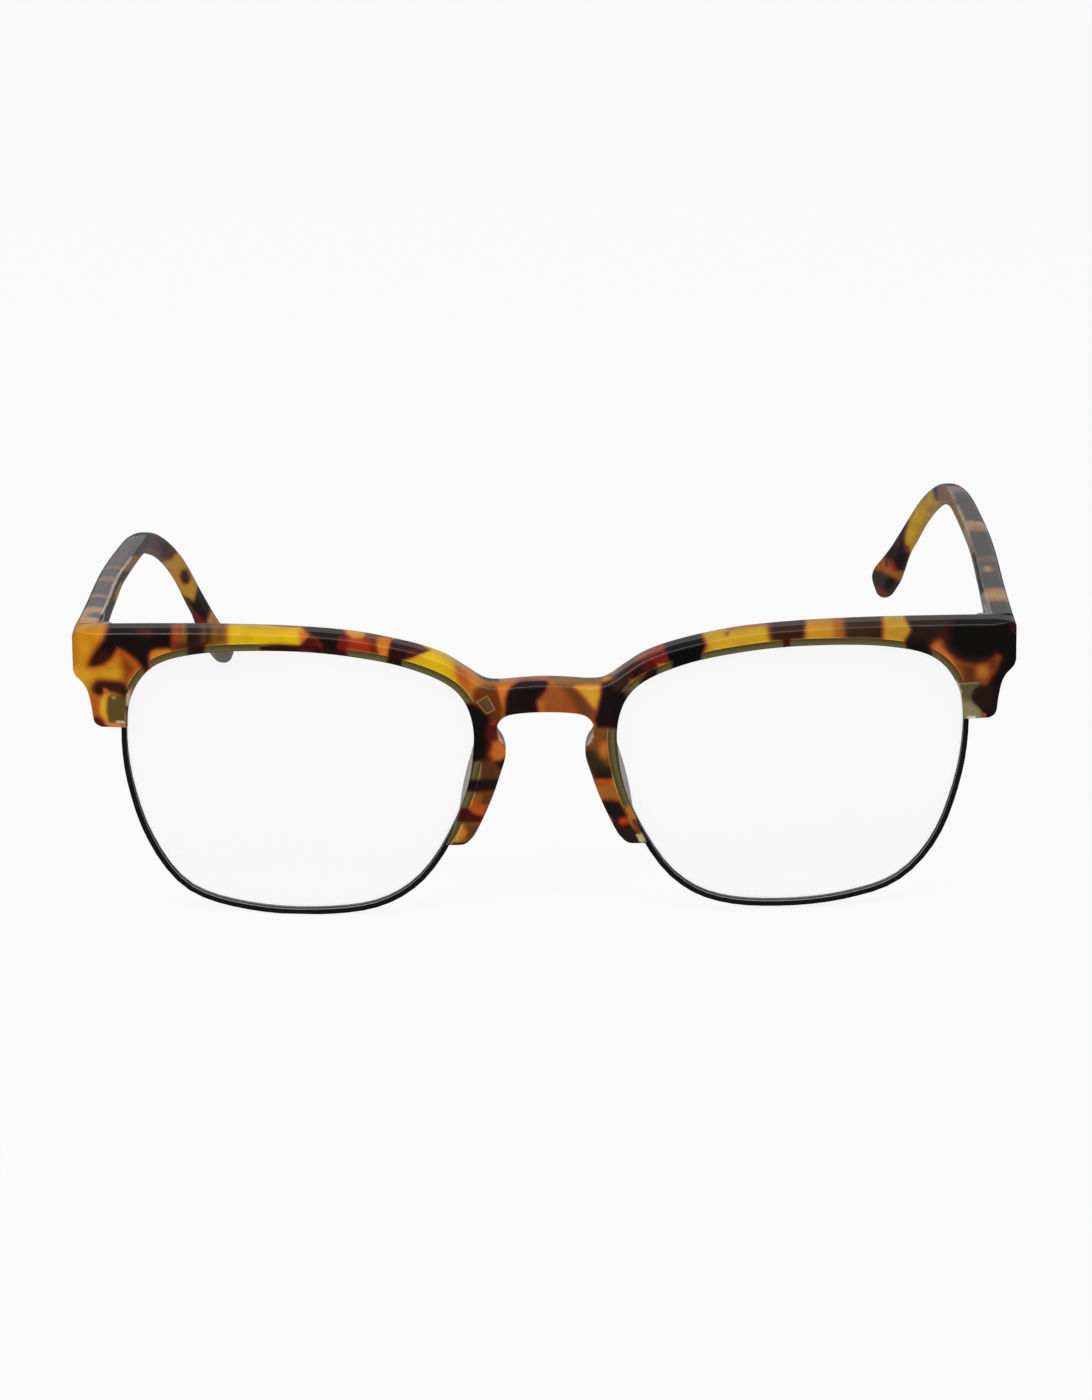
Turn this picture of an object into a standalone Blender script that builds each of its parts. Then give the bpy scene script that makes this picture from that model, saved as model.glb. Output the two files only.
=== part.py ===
# Browline eyeglass frame: an acetate front that carries two full metal rims with
# demonstration lenses, and two acetate temples on three-eye hinges.
# The front is drawn flat in X and Z, then bowed back along Y. Left is -X.
import math

import bmesh
import bpy
from mathutils import Matrix, Vector

# Lenses and rims, in metres
LENS_WIDTH = 0.0524
LENS_HEIGHT = 0.0404
LENS_THICKNESS = 0.0016
LENS_DOME = 0.0014
LENS_FIT = 0.00015
BRIDGE_GAP = 0.0200
RIM_WALL = 0.0004
RIM_GROOVE = 0.0005
RIM_LIP = 0.00035
RIM_DEPTH = 0.0018
RIM_SET_BACK = 0.0016

# Acetate front
FRONT_THICKNESS = 0.0040
BOW_RADIUS = 0.350
BROW_RISE = 0.0027
ENDPIECE_WIDTH = 0.0075
TOP_CHAMFER = 0.0007
APERTURE_COVER = 0.00005
SEAT_GAP = 0.0003
OVERRUN = 0.0010
WELD = 0.000002
SHARP_ANGLE = math.radians(35)

# Closing blocks and anchor tabs, which hold the rims in the front
BLOCK_WIDTH = 0.0016
BLOCK_HEIGHT = 0.0019
TAB_LENGTH = 0.0019
TAB_WIDTH = 0.0020
TAB_THICKNESS = 0.0010
TAB_PLACE_SHARE = 0.806
SMALL_SCREW_RADIUS = 0.00035
SMALL_HEAD_RADIUS = 0.00065
SMALL_HEAD_HEIGHT = 0.0005
SCREW_FIT = 0.00015
FRONT_WALL_LEFT = 0.0008

# Nose pads
PAD_DEPTH = 0.0062
PAD_FLARE = 0.0017
PAD_THICKNESS = 0.0026

# Temples
TEMPLE_LENGTH = 0.1402
TEMPLE_THICKNESS = 0.0036
TEMPLE_TIP_THICKNESS = 0.0026
TEMPLE_HEIGHT = 0.0064
TEMPLE_EDGE_RADIUS = 0.0009
TEMPLE_UNDER_RADIUS = 0.0014
TEMPLE_INSET = 0.00005
TEMPLE_DROP = 0.0001
TEMPLE_BEND_START = 0.0711
TEMPLE_BEND_RADIUS = 0.0739
TEMPLE_BEND_ANGLE = math.radians(42.4)
TEMPLE_TIP_HEADING = math.radians(18.5)
TEMPLE_TIP_RADIUS = 0.0034
TIP_THIN_SHARE = 0.35
CORNER_LIMIT_SHARE = 0.42
TEMPLE_SLOPE = {"left": math.radians(3.35), "right": math.radians(-1.1)}
TEMPLE_SPLAY = {"left": math.radians(1.5), "right": math.radians(0.4)}
CORE_THICKNESS = 0.0009
CORE_HEIGHT = 0.0013
CORE_START = 0.0030
CORE_CLEARANCE = 0.0222

# Hinges
HINGE_INSET = 0.0012
HINGE_SET_BACK = 0.0018
EYE_RADIUS = 0.0011
EYE_HEIGHT = 0.0014
EYE_GAP = 0.0002
LEAF_THICKNESS = 0.0009
LEAF_PROUD = 0.0003
LEAF_HEIGHT = 0.0040
FRONT_LEAF_WIDTH = 0.0038
TEMPLE_LEAF_LENGTH = 0.0080
TEMPLE_LEAF_OFFSET = 0.0013
HINGE_SCREW_RADIUS = 0.0005
HINGE_HEAD_RADIUS = 0.0009
HINGE_HEAD_HEIGHT = 0.0005

# Counts
OUTLINE_STEPS = 4
BOW_SLICES = 44
ROUND_SIDES = 16
SCREW_SIDES = 12
CORNER_STEPS = 2
TEMPLE_STATIONS = 30
CORE_STATIONS = 22
LENS_RINGS = 3
PATH_STEPS = 400

# Lens outline, as shares of half its width and height, from the top and outwards
LENS_OUTLINE_SHARES = [
    (0.14, 1.00), (0.535, 0.972), (0.815, 0.872), (0.962, 0.645), (1.00, 0.34), (0.96, -0.055),
    (0.835, -0.48), (0.62, -0.83), (0.31, -0.97), (-0.065, -1.00), (-0.405, -0.945),
    (-0.66, -0.735), (-0.87, -0.33), (-0.98, 0.065), (-0.998, 0.42), (-0.885, 0.712),
    (-0.605, 0.885), (-0.23, 0.975)]

# Front outline, right half, from the middle of the bridge's top edge. Each row is a zone,
# shares along X and Z of what that zone follows, and whether the outline turns there.
FRONT_OUTLINE_SHARES = [
    ("bridge", 0.00, 0.8775, False), ("bridge", 0.33, 0.8740, False),
    ("bridge", 0.66, 0.8680, False), ("bridge", 0.90, 0.8760, False),
    ("bridge", 1.19, 0.9220, False), ("brow", 0.099, -0.44, False),
    ("brow", 0.200, 0.18, False), ("brow", 0.353, 0.73, False),
    ("brow", 0.534, 0.965, False), ("brow", 0.725, 1.00, False),
    ("brow", 0.916, 0.91, False), ("brow end", 0.54, 0.78, False),
    ("brow end", 0.91, 0.68, True), ("brow end", 0.98, 0.56, False),
    ("brow end", 1.00, 0.36, True), ("lug", 1.00, 0.9000, True),
    ("lug", 0.95, 0.8755, False), ("lug", 0.80, 0.8465, False),
    ("lug", 0.71, 0.8130, False), ("lug", 0.65, 0.7610, False),
    ("lug", 0.61, 0.7090, False), ("lug", 0.55, 0.6925, False),
    ("lug", 0.46, 0.6850, True), ("lens", 0.90, 0.6850, True),
    ("lens", 0.27, 0.2660, True), ("bridge", 1.38, 0.2660, True),
    ("bridge", 1.23, 0.2710, False), ("bridge", 1.135, 0.2880, False),
    ("bridge", 1.02, 0.3400, False), ("bridge", 0.88, 0.4220, False),
    ("bridge", 0.75, 0.4990, False), ("bridge", 0.645, 0.5705, False),
    ("bridge", 0.60, 0.6100, False), ("bridge", 0.635, 0.6470, False),
    ("bridge", 0.71, 0.6820, False), ("bridge", 0.715, 0.7090, False),
    ("bridge", 0.66, 0.7340, False), ("bridge", 0.54, 0.7525, False),
    ("bridge", 0.30, 0.7610, False), ("bridge", 0.00, 0.7636, False)]
LAST_TOP_POINT = 14
LUG_BOTTOM_SHARE = 0.6850

# Nose pad sections from top to bottom: height and inner edge as shares of the lens height
# and the half bridge, then depth and width as shares of the pad's own
PAD_SECTION_SHARES = [
    (0.690, 0.73, 0.30, 0.85), (0.660, 0.645, 0.62, 1.15), (0.600, 0.605, 0.90, 1.25),
    (0.520, 0.715, 1.00, 1.15), (0.430, 0.87, 0.96, 0.95), (0.345, 1.02, 0.78, 0.75),
    (0.290, 1.15, 0.45, 0.50)]

# Nose pad corners round one section: shares of its flare, its width and its depth
PAD_CORNER_SHARES = [
    (0.00, 0.00, 0.00), (0.40, 0.00, 0.55), (0.78, 0.00, 0.90), (1.00, 0.36, 1.00),
    (1.00, 0.72, 0.86), (0.62, 1.00, 0.42), (0.00, 1.00, 0.00)]

# Temple height along its length, as shares of its length and of its height at the hinge
TEMPLE_HEIGHT_SHARES = [
    (0.00, 1.00), (0.08, 0.68), (0.20, 0.59), (0.35, 0.50), (0.50, 0.50), (0.62, 0.54),
    (0.72, 0.49), (0.80, 0.49), (0.88, 0.55), (0.95, 0.83), (1.00, 0.85)]

# Temple heading inwards along its length, as shares of its length and of its heading at the tip
TEMPLE_HEADING_SHARES = [
    (0.00, 0.00), (0.21, -0.06), (0.43, 0.10), (0.61, 0.21), (0.785, 0.42), (1.00, 1.00)]
TIP_ROUNDING_ANGLES = [math.radians(angle) for angle in (25, 45, 62, 76, 86)]

# Screw profile, as shares of the head's radius and height, then of the shank's radius
SCREW_HEAD_SHARES = [(0.8, 0.0), (1.0, 0.3), (1.0, 1.0)]
SCREW_POINT_SHARE = 0.4

# Neck of a hinge eye: half its width as a share of the eye's radius, its step as one of its height
EYE_NECK_SHARES = (0.75, 0.083)

SIDES = {"left": -1, "right": 1}
HALF_BRIDGE = BRIDGE_GAP / 2
RIM_OUT = RIM_WALL + LENS_FIT
RIM_IN = RIM_GROOVE - LENS_FIT
LENS_X = HALF_BRIDGE + LENS_WIDTH / 2
LENS_Z = RIM_OUT + LENS_HEIGHT / 2
LENS_TOP = RIM_OUT + LENS_HEIGHT
HALF_WIDTH = HALF_BRIDGE + LENS_WIDTH + ENDPIECE_WIDTH
LUG_BOTTOM = RIM_OUT + LUG_BOTTOM_SHARE * LENS_HEIGHT
RIM_MIDDLE = RIM_SET_BACK + RIM_DEPTH / 2
CORE_END = TEMPLE_LENGTH - CORE_CLEARANCE


def bow(x):
    # How far back the bowed front lies at x
    return BOW_RADIUS - math.sqrt(BOW_RADIUS ** 2 - x ** 2)


TEMPLE_X = HALF_WIDTH - TEMPLE_INSET - TEMPLE_THICKNESS / 2
TEMPLE_TOP = LENS_TOP + BROW_RISE * FRONT_OUTLINE_SHARES[LAST_TOP_POINT - 3][2] - TEMPLE_DROP
TEMPLE_Z = TEMPLE_TOP - TEMPLE_HEIGHT / 2
TEMPLE_Y = FRONT_THICKNESS + bow(TEMPLE_X) + SEAT_GAP
HINGE_X = TEMPLE_X - TEMPLE_THICKNESS / 2 - HINGE_INSET
HINGE_Y = FRONT_THICKNESS + bow(HINGE_X) + HINGE_SET_BACK
HINGE_STACK = 3 * EYE_HEIGHT + 2 * EYE_GAP
HINGE_TURN = math.asin(HINGE_X / BOW_RADIUS)


def clear_scene():
    for thing in list(bpy.data.objects):
        bpy.data.objects.remove(thing, do_unlink=True)


def make_collection(name):
    group = bpy.data.collections.new(name)
    bpy.context.scene.collection.children.link(group)
    return group


def make_material(name, colour, roughness, metallic=0.0, alpha=1.0):
    material = bpy.data.materials.new(name)
    material.use_nodes = True
    shader = material.node_tree.nodes["Principled BSDF"]
    shader.inputs["Base Color"].default_value = (*colour, 1.0)
    shader.inputs["Roughness"].default_value = roughness
    shader.inputs["Metallic"].default_value = metallic
    shader.inputs["Alpha"].default_value = alpha
    return material


clear_scene()
frame_parts = make_collection("eyeglass_frame")
cutters = make_collection("cutters")
ACETATE = make_material("tortoise_acetate", (0.50, 0.24, 0.03), 0.15)
BLACK_METAL = make_material("black_metal", (0.012, 0.012, 0.014), 0.30, 0.6)
STEEL = make_material("hinge_steel", (0.55, 0.54, 0.52), 0.28, 1.0)
CLEAR = make_material("clear_lens", (0.92, 0.95, 0.94), 0.03, 0.0, 0.25)


def mesh_object(name, bm, material):
    # One closed piece, faces turned outwards, in front coordinates
    bmesh.ops.recalc_face_normals(bm, faces=bm.faces)
    mesh = bpy.data.meshes.new(name)
    bm.to_mesh(mesh)
    bm.free()
    mesh.materials.append(material)
    mesh.shade_smooth()
    mesh.set_sharp_from_angle(angle=SHARP_ANGLE)
    piece = bpy.data.objects.new(name, mesh)
    frame_parts.objects.link(piece)
    return piece


def as_cutter(piece):
    frame_parts.objects.unlink(piece)
    cutters.objects.link(piece)
    piece.hide_render = True
    piece.display_type = "WIRE"
    return piece


def add_boolean(piece, tool, operation="DIFFERENCE"):
    step = piece.modifiers.new(tool.name, "BOOLEAN")
    step.operation = operation
    step.object = tool


def bake(piece):
    # Turns the piece's modifiers into its own mesh
    bpy.context.view_layer.update()
    depsgraph = bpy.context.evaluated_depsgraph_get()
    mesh = bpy.data.meshes.new_from_object(piece.evaluated_get(depsgraph))
    piece.modifiers.clear()
    piece.data = mesh


def loft(name, rings, material, closed=False):
    # Skin through rings of equal count; open ends get a cap
    bm = bmesh.new()
    loops = [[bm.verts.new(point) for point in ring] for ring in rings]
    pairs = list(zip(loops, loops[1:]))
    if closed:
        pairs.append((loops[-1], loops[0]))
    for first, second in pairs:
        count = len(first)
        for i in range(count):
            j = (i + 1) % count
            bm.faces.new((first[i], first[j], second[j], second[i]))
    if not closed:
        bm.faces.new(loops[0])
        bm.faces.new(loops[-1])
    return mesh_object(name, bm, material)


def box(name, low, high, material, matrix=Matrix.Identity(4)):
    bm = bmesh.new()
    size = Vector(high) - Vector(low)
    middle = (Vector(high) + Vector(low)) / 2
    bmesh.ops.create_cube(bm, size=1.0, matrix=matrix @ Matrix.Translation(middle)
                          @ Matrix.Diagonal((*size, 1.0)))
    return mesh_object(name, bm, material)


def cylinder(name, low, high, radius, sides, material):
    # A round bar from low to high
    low, high = Vector(low), Vector(high)
    turn = (high - low).to_track_quat("Z", "Y").to_matrix().to_4x4()
    bm = bmesh.new()
    bmesh.ops.create_cone(bm, cap_ends=True, segments=sides, radius1=radius, radius2=radius,
                          depth=(high - low).length,
                          matrix=Matrix.Translation((low + high) / 2) @ turn)
    return mesh_object(name, bm, material)


def screw(name, head_end, tip_end, radius, head_radius, head_height, material):
    # A plain screw turned from its profile: head, shank and a short point
    head_end, tip_end = Vector(head_end), Vector(tip_end)
    length = (tip_end - head_end).length
    profile = [(0, 0)] + [(head_radius * out, -head_height * down) for out, down in SCREW_HEAD_SHARES]
    profile += [(radius, -head_height), (radius, radius - length),
                (radius * SCREW_POINT_SHARE, -length), (0, -length)]
    bm = bmesh.new()
    points = [bm.verts.new((out, 0, up)) for out, up in profile]
    for upper, lower in zip(points, points[1:]):
        bm.edges.new((upper, lower))
    pin = mesh_object(name, bm, material)
    turn = pin.modifiers.new("turn", "SCREW")
    turn.steps = turn.render_steps = SCREW_SIDES
    turn.use_merge_vertices = True
    turn.merge_threshold = WELD
    bake(pin)
    aim = (head_end - tip_end).to_track_quat("Z", "Y").to_matrix().to_4x4()
    pin.data.transform(Matrix.Translation(head_end) @ aim)
    return pin


def smooth_through(rows, steps, closed=True):
    # A curve through rows of (x, z, turns); it goes straight between two turning points
    points = [Vector(row[:2]) for row in rows]
    turns = [row[2] for row in rows]
    count = len(points)
    result = []
    for i in range(count if closed else count - 1):
        j = (i + 1) % count
        before, after = points[(i - 1) % count], points[(j + 1) % count]
        start = points[j] - points[i] if turns[i] else (points[j] - before) / 2
        end = points[j] - points[i] if turns[j] else (after - points[i]) / 2
        pieces = 1 if turns[i] and turns[j] else steps
        for k in range(pieces):
            t = k / pieces
            result.append((2 * t ** 3 - 3 * t ** 2 + 1) * points[i] + (t ** 3 - 2 * t ** 2 + t) * start
                          + (3 * t ** 2 - 2 * t ** 3) * points[j] + (t ** 3 - t ** 2) * end)
    return result


def lens_loop():
    rows = [(LENS_X + share_x * LENS_WIDTH / 2, LENS_Z + share_z * LENS_HEIGHT / 2, False)
            for share_x, share_z in LENS_OUTLINE_SHARES]
    return smooth_through(rows, OUTLINE_STEPS)


def outward(loop, i):
    # Unit normal of the clockwise lens loop at point i, pointing away from the lens
    run = (loop[(i + 1) % len(loop)] - loop[i - 1]).normalized()
    return Vector((-run.y, run.x))


def offset_loop(loop, distance):
    return [point + outward(loop, i) * distance for i, point in enumerate(loop)]


def place(side, point, depth):
    # A flat outline point on one side, at its depth behind the flat front face
    return Vector((side * point[0], depth, point[1]))


def bend_back(piece):
    # Slices a flat piece across X and bows it with the front
    bm = bmesh.new()
    bm.from_mesh(piece.data)
    low = min(vertex.co.x for vertex in bm.verts)
    high = max(vertex.co.x for vertex in bm.verts)
    for k in range(1, BOW_SLICES):
        x = HALF_WIDTH * (2 * k / BOW_SLICES - 1)
        if low < x < high:
            bmesh.ops.bisect_plane(bm, geom=bm.verts[:] + bm.edges[:] + bm.faces[:],
                                   plane_co=(x, 0, 0), plane_no=(1, 0, 0))
    bmesh.ops.remove_doubles(bm, verts=bm.verts, dist=WELD)
    bmesh.ops.dissolve_degenerate(bm, edges=bm.edges, dist=WELD)
    for vertex in bm.verts:
        vertex.co.y += bow(vertex.co.x)
    bm.to_mesh(piece.data)
    bm.free()


def ease_back(piece):
    # Bows a small or already fine piece without slicing it
    for vertex in piece.data.vertices:
        vertex.co.y += bow(vertex.co.x)


def outline_point(zone, share_x, share_z):
    follows = {"bridge": (share_x * HALF_BRIDGE, RIM_OUT + share_z * LENS_HEIGHT),
               "brow": (HALF_BRIDGE + share_x * LENS_WIDTH, LENS_TOP + share_z * BROW_RISE),
               "brow end": (HALF_BRIDGE + LENS_WIDTH + share_x * ENDPIECE_WIDTH,
                            LENS_TOP + share_z * BROW_RISE),
               "lug": (HALF_BRIDGE + LENS_WIDTH + share_x * ENDPIECE_WIDTH,
                       RIM_OUT + share_z * LENS_HEIGHT),
               "lens": (HALF_BRIDGE + share_x * LENS_WIDTH, RIM_OUT + share_z * LENS_HEIGHT)}
    return follows[zone]


def front_outline():
    right = [(*outline_point(zone, x, z), turns) for zone, x, z, turns in FRONT_OUTLINE_SHARES]
    left = [(-x, z, turns) for x, z, turns in reversed(right[1:-1])]
    return smooth_through(right + left, OUTLINE_STEPS)


def prism(name, loop, side, low, high):
    rings = [[place(side, point, depth) for point in loop] for depth in (low, high)]
    return loft(name, rings, ACETATE)


def block_box(side, low_z, high_z, grow):
    # Closing block of one side, or with grow its pocket, beside the rim
    inner = HALF_BRIDGE + LENS_WIDTH + RIM_OUT + SEAT_GAP
    outer = inner + BLOCK_WIDTH
    x = sorted((side * (inner - grow), side * (outer + grow)))
    return ((x[0], RIM_SET_BACK - grow, low_z - grow),
            (x[1], RIM_SET_BACK + RIM_DEPTH + grow, high_z + grow))


def block_heights():
    head_room = SMALL_HEAD_HEIGHT + SEAT_GAP
    lower = LUG_BOTTOM + head_room
    upper = lower + BLOCK_HEIGHT + SEAT_GAP
    return {"lower": lower, "upper": upper}


def tab_matrix(side):
    # Frame of the anchor tab: X along its length away from the rim, Z across it
    loop = lens_loop()
    i = round(TAB_PLACE_SHARE * len(loop)) % len(loop)
    normal = outward(loop, i)
    middle = loop[i] + normal * (RIM_OUT + SEAT_GAP + TAB_LENGTH / 2)
    angle = math.atan2(normal.y, side * normal.x)
    return (Matrix.Translation(place(side, middle, RIM_MIDDLE)) @ Matrix.Rotation(-angle, 4, "Y"))


def make_front():
    # Acetate front: brow, bridge, nose arms and end lugs in one piece
    outline = front_outline()
    flat = [Vector((point.x, 0, point.y)) for point in outline]
    bm = bmesh.new()
    ring = [bm.verts.new(point) for point in flat]
    face = bm.faces.new(ring)
    back = bmesh.ops.extrude_face_region(bm, geom=[face])["geom"]
    moved = [item for item in back if isinstance(item, bmesh.types.BMVert)]
    bmesh.ops.translate(bm, verts=moved, vec=(0, FRONT_THICKNESS, 0))
    tops = LAST_TOP_POINT * OUTLINE_STEPS
    ring_edges = [bm.edges.get((ring[i - 1], ring[i])) for i in range(len(ring))]
    top_edges = [edge for i, edge in enumerate(ring_edges) if i <= tops or i > len(ring) - tops]
    bmesh.ops.bevel(bm, geom=top_edges, offset=TOP_CHAMFER, segments=1, affect="EDGES",
                    clamp_overlap=True)
    bmesh.ops.remove_doubles(bm, verts=bm.verts, dist=WELD)
    front = mesh_object("brow_front", bm, ACETATE)

    loop = lens_loop()
    opening = offset_loop(loop, -RIM_IN - APERTURE_COVER)
    seat = offset_loop(loop, RIM_OUT + SEAT_GAP / 2)
    heights = block_heights()
    for name, side in SIDES.items():
        behind = FRONT_THICKNESS + OVERRUN
        add_boolean(front, as_cutter(prism(f"cut_opening_{name}", opening, side, -OVERRUN, behind)))
        add_boolean(front, as_cutter(prism(f"cut_rim_seat_{name}", seat, side,
                                           RIM_SET_BACK - SEAT_GAP / 2, behind)))
        low, high = block_box(side, LUG_BOTTOM, heights["upper"] + BLOCK_HEIGHT, SEAT_GAP)
        low = (low[0], low[1], LUG_BOTTOM - OVERRUN)
        high = (high[0], behind, high[2])
        add_boolean(front, as_cutter(box(f"cut_block_pocket_{name}", low, high, ACETATE)))
        half_length = TAB_LENGTH / 2 + SEAT_GAP
        half_width = TAB_WIDTH / 2 + SEAT_GAP
        room = TAB_THICKNESS / 2 + SEAT_GAP
        add_boolean(front, as_cutter(box(
            f"cut_tab_pocket_{name}", (-half_length - RIM_OUT, -room, -half_width),
            (half_length, behind - RIM_MIDDLE, half_width), ACETATE, tab_matrix(side))))
        middle = tab_matrix(side).translation
        drill = cylinder(f"cut_tab_screw_{name}", (middle.x, FRONT_WALL_LEFT, middle.z), middle,
                         SMALL_SCREW_RADIUS + SCREW_FIT, SCREW_SIDES, ACETATE)
        add_boolean(front, as_cutter(drill))
    bake(front)
    bend_back(front)
    for name, side in SIDES.items():
        low, high = front_leaf_box(SEAT_GAP)
        pocket = box(f"cut_hinge_pocket_{name}", low, (high[0], high[1] + OVERRUN, high[2]), ACETATE,
                     leaf_matrix(side))
        add_boolean(front, as_cutter(pocket))
    bake(front)
    return front


def make_lens(name, side):
    # Clear lens with a tongue in the rim's groove and a shallow dome
    loop = lens_loop()
    body = offset_loop(loop, -RIM_IN - LENS_FIT)
    tongue = RIM_DEPTH / 2 - RIM_LIP - LENS_FIT
    face = LENS_THICKNESS / 2
    middle = Vector((LENS_X, LENS_Z))

    def face_ring(share, depth):
        return [place(side, middle + (point - middle) * share, depth - LENS_DOME * (1 - share ** 2))
                for point in body]

    shares = [k / LENS_RINGS for k in range(1, LENS_RINGS + 1)]
    rings = [face_ring(share, RIM_MIDDLE - face) for share in shares]
    rings += [[place(side, point, RIM_MIDDLE - tongue) for point in body]]
    rings += [[place(side, point, RIM_MIDDLE + way * tongue) for point in loop] for way in (-1, 1)]
    rings += [[place(side, point, RIM_MIDDLE + tongue) for point in body]]
    rings += [face_ring(share, RIM_MIDDLE + face) for share in reversed(shares)]
    lens = loft(f"lens_{name}", rings, CLEAR)
    ease_back(lens)


def make_rim(name, side):
    # Grooved wire all round the lens, split between the closing blocks
    loop = lens_loop()
    heights = block_heights()
    split = heights["upper"] - SEAT_GAP / 2
    right_half = [i for i, point in enumerate(loop) if point.x > LENS_X]
    cut = min(right_half, key=lambda i: abs(loop[i].y - split))
    low, high = RIM_SET_BACK, RIM_SET_BACK + RIM_DEPTH
    section = [(RIM_OUT, low), (RIM_OUT, high), (-RIM_IN, high), (-RIM_IN, high - RIM_LIP),
               (LENS_FIT, high - RIM_LIP), (LENS_FIT, low + RIM_LIP), (-RIM_IN, low + RIM_LIP),
               (-RIM_IN, low)]
    stations = []
    for k in range(len(loop) + 1):
        i = (cut + k) % len(loop)
        point = loop[i].copy()
        if k == 0:
            point.y -= SEAT_GAP / 2
        if k == len(loop):
            point.y += SEAT_GAP / 2
        stations.append((point, outward(loop, i)))
    rings = [[place(side, point + normal * out, depth) for out, depth in section]
             for point, normal in stations]
    rim = loft(f"rim_wire_{name}", rings, BLACK_METAL)
    ease_back(rim)


def make_closing_blocks(name, side):
    # Two blocks of the rim's split and the screw that draws them together
    heights = block_heights()
    low, high = block_box(side, LUG_BOTTOM, heights["upper"] + BLOCK_HEIGHT, 0)
    x, depth = (low[0] + high[0]) / 2, (low[1] + high[1]) / 2
    head_end = (x, depth, LUG_BOTTOM)
    tip_end = (x, depth, heights["upper"] + BLOCK_HEIGHT - SEAT_GAP)
    hole = as_cutter(cylinder(f"cut_rim_screw_{name}", (x, depth, LUG_BOTTOM - OVERRUN),
                              (x, depth, heights["upper"] + BLOCK_HEIGHT + OVERRUN),
                              SMALL_SCREW_RADIUS + SCREW_FIT, SCREW_SIDES, STEEL))
    for level in ("lower", "upper"):
        corners = block_box(side, heights[level], heights[level] + BLOCK_HEIGHT, 0)
        block = box(f"rim_block_{level}_{name}", *corners, BLACK_METAL)
        add_boolean(block, hole)
        bake(block)
        ease_back(block)
    pin = screw(f"rim_screw_{name}", head_end, tip_end, SMALL_SCREW_RADIUS, SMALL_HEAD_RADIUS,
                SMALL_HEAD_HEIGHT, STEEL)
    ease_back(pin)


def make_tab(name, side):
    # Anchor tab of the rim in the bridge corner, screwed from behind
    frame = tab_matrix(side)
    half = (TAB_LENGTH / 2, TAB_THICKNESS / 2, TAB_WIDTH / 2)
    tab = box(f"rim_tab_{name}", [-size for size in half], half, BLACK_METAL, frame)
    middle = frame.translation
    top = Vector((middle.x, middle.y + TAB_THICKNESS / 2 + SCREW_FIT + SMALL_HEAD_HEIGHT, middle.z))
    tip = Vector((middle.x, FRONT_WALL_LEFT + SCREW_FIT, middle.z))
    hole = as_cutter(cylinder(f"cut_tab_{name}", tip, top, SMALL_SCREW_RADIUS + SCREW_FIT,
                              SCREW_SIDES, STEEL))
    add_boolean(tab, hole)
    bake(tab)
    ease_back(tab)
    pin = screw(f"tab_screw_{name}", top, tip, SMALL_SCREW_RADIUS, SMALL_HEAD_RADIUS,
                SMALL_HEAD_HEIGHT, STEEL)
    ease_back(pin)


def make_nose_pad(name, side):
    # Acetate pad on the back of a nose arm, flared outwards and back
    rings = []
    start = FRONT_THICKNESS + SEAT_GAP
    for height, inner, depth_share, width_share in PAD_SECTION_SHARES:
        z = RIM_OUT + height * LENS_HEIGHT
        x = inner * HALF_BRIDGE
        depth = PAD_DEPTH * depth_share
        flare = PAD_FLARE * depth_share
        width = PAD_THICKNESS * width_share
        rings.append([place(side, (x + flare * out + width * across, z), start + depth * back)
                      for out, across, back in PAD_CORNER_SHARES])
    pad = loft(f"nose_pad_{name}", rings, ACETATE)
    ease_back(pad)


def eased(rows, share):
    # Value of a table at a share of the temple's length, eased between its rows
    for (low, first), (high, second) in zip(rows, rows[1:]):
        if share <= high:
            t = (share - low) / (high - low)
            return first + (second - first) * t * t * (3 - 2 * t)
    return rows[-1][1]


def bent_share(along):
    return min(max((along - TEMPLE_BEND_START) / (TEMPLE_BEND_RADIUS * TEMPLE_BEND_ANGLE), 0), 1)


def temple_height(along):
    return TEMPLE_HEIGHT * eased(TEMPLE_HEIGHT_SHARES, along / TEMPLE_LENGTH)


def temple_path(name, places):
    # Centre line of a temple with its inward and upward directions at each place
    side = SIDES[name]
    position = Vector((side * TEMPLE_X, TEMPLE_Y, TEMPLE_Z))
    trail = []
    for i in range(PATH_STEPS + 1):
        share = i / PATH_STEPS
        slope = TEMPLE_SLOPE[name] + TEMPLE_BEND_ANGLE * bent_share(TEMPLE_LENGTH * share)
        heading = TEMPLE_SPLAY[name] + TEMPLE_TIP_HEADING * eased(TEMPLE_HEADING_SHARES, share)
        ahead = Vector((-side * math.sin(heading), math.cos(heading) * math.cos(slope),
                        -math.sin(slope))).normalized()
        inward = Vector((-side * ahead.y, side * ahead.x, 0)).normalized()
        upward = side * ahead.cross(inward)
        trail.append((position.copy(), inward, upward))
        position = position + ahead * (TEMPLE_LENGTH / PATH_STEPS)
    return [trail[round(along / TEMPLE_LENGTH * PATH_STEPS)] for along in places]


def section_ring(centre, inward, upward, thickness, height):
    # Rounded rectangle, softer below than above
    ring = []
    limit = CORNER_LIMIT_SHARE * min(thickness, height)
    for quarter, (across, up) in enumerate(((1, 1), (-1, 1), (-1, -1), (1, -1))):
        radius = min(TEMPLE_EDGE_RADIUS if up > 0 else TEMPLE_UNDER_RADIUS, limit)
        for step in range(CORNER_STEPS + 1):
            angle = math.pi / 2 * (quarter + step / CORNER_STEPS)
            ring.append(centre + inward * (across * (thickness / 2 - radius) + radius * math.cos(angle))
                        + upward * (up * (height / 2 - radius) + radius * math.sin(angle)))
    return ring


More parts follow.
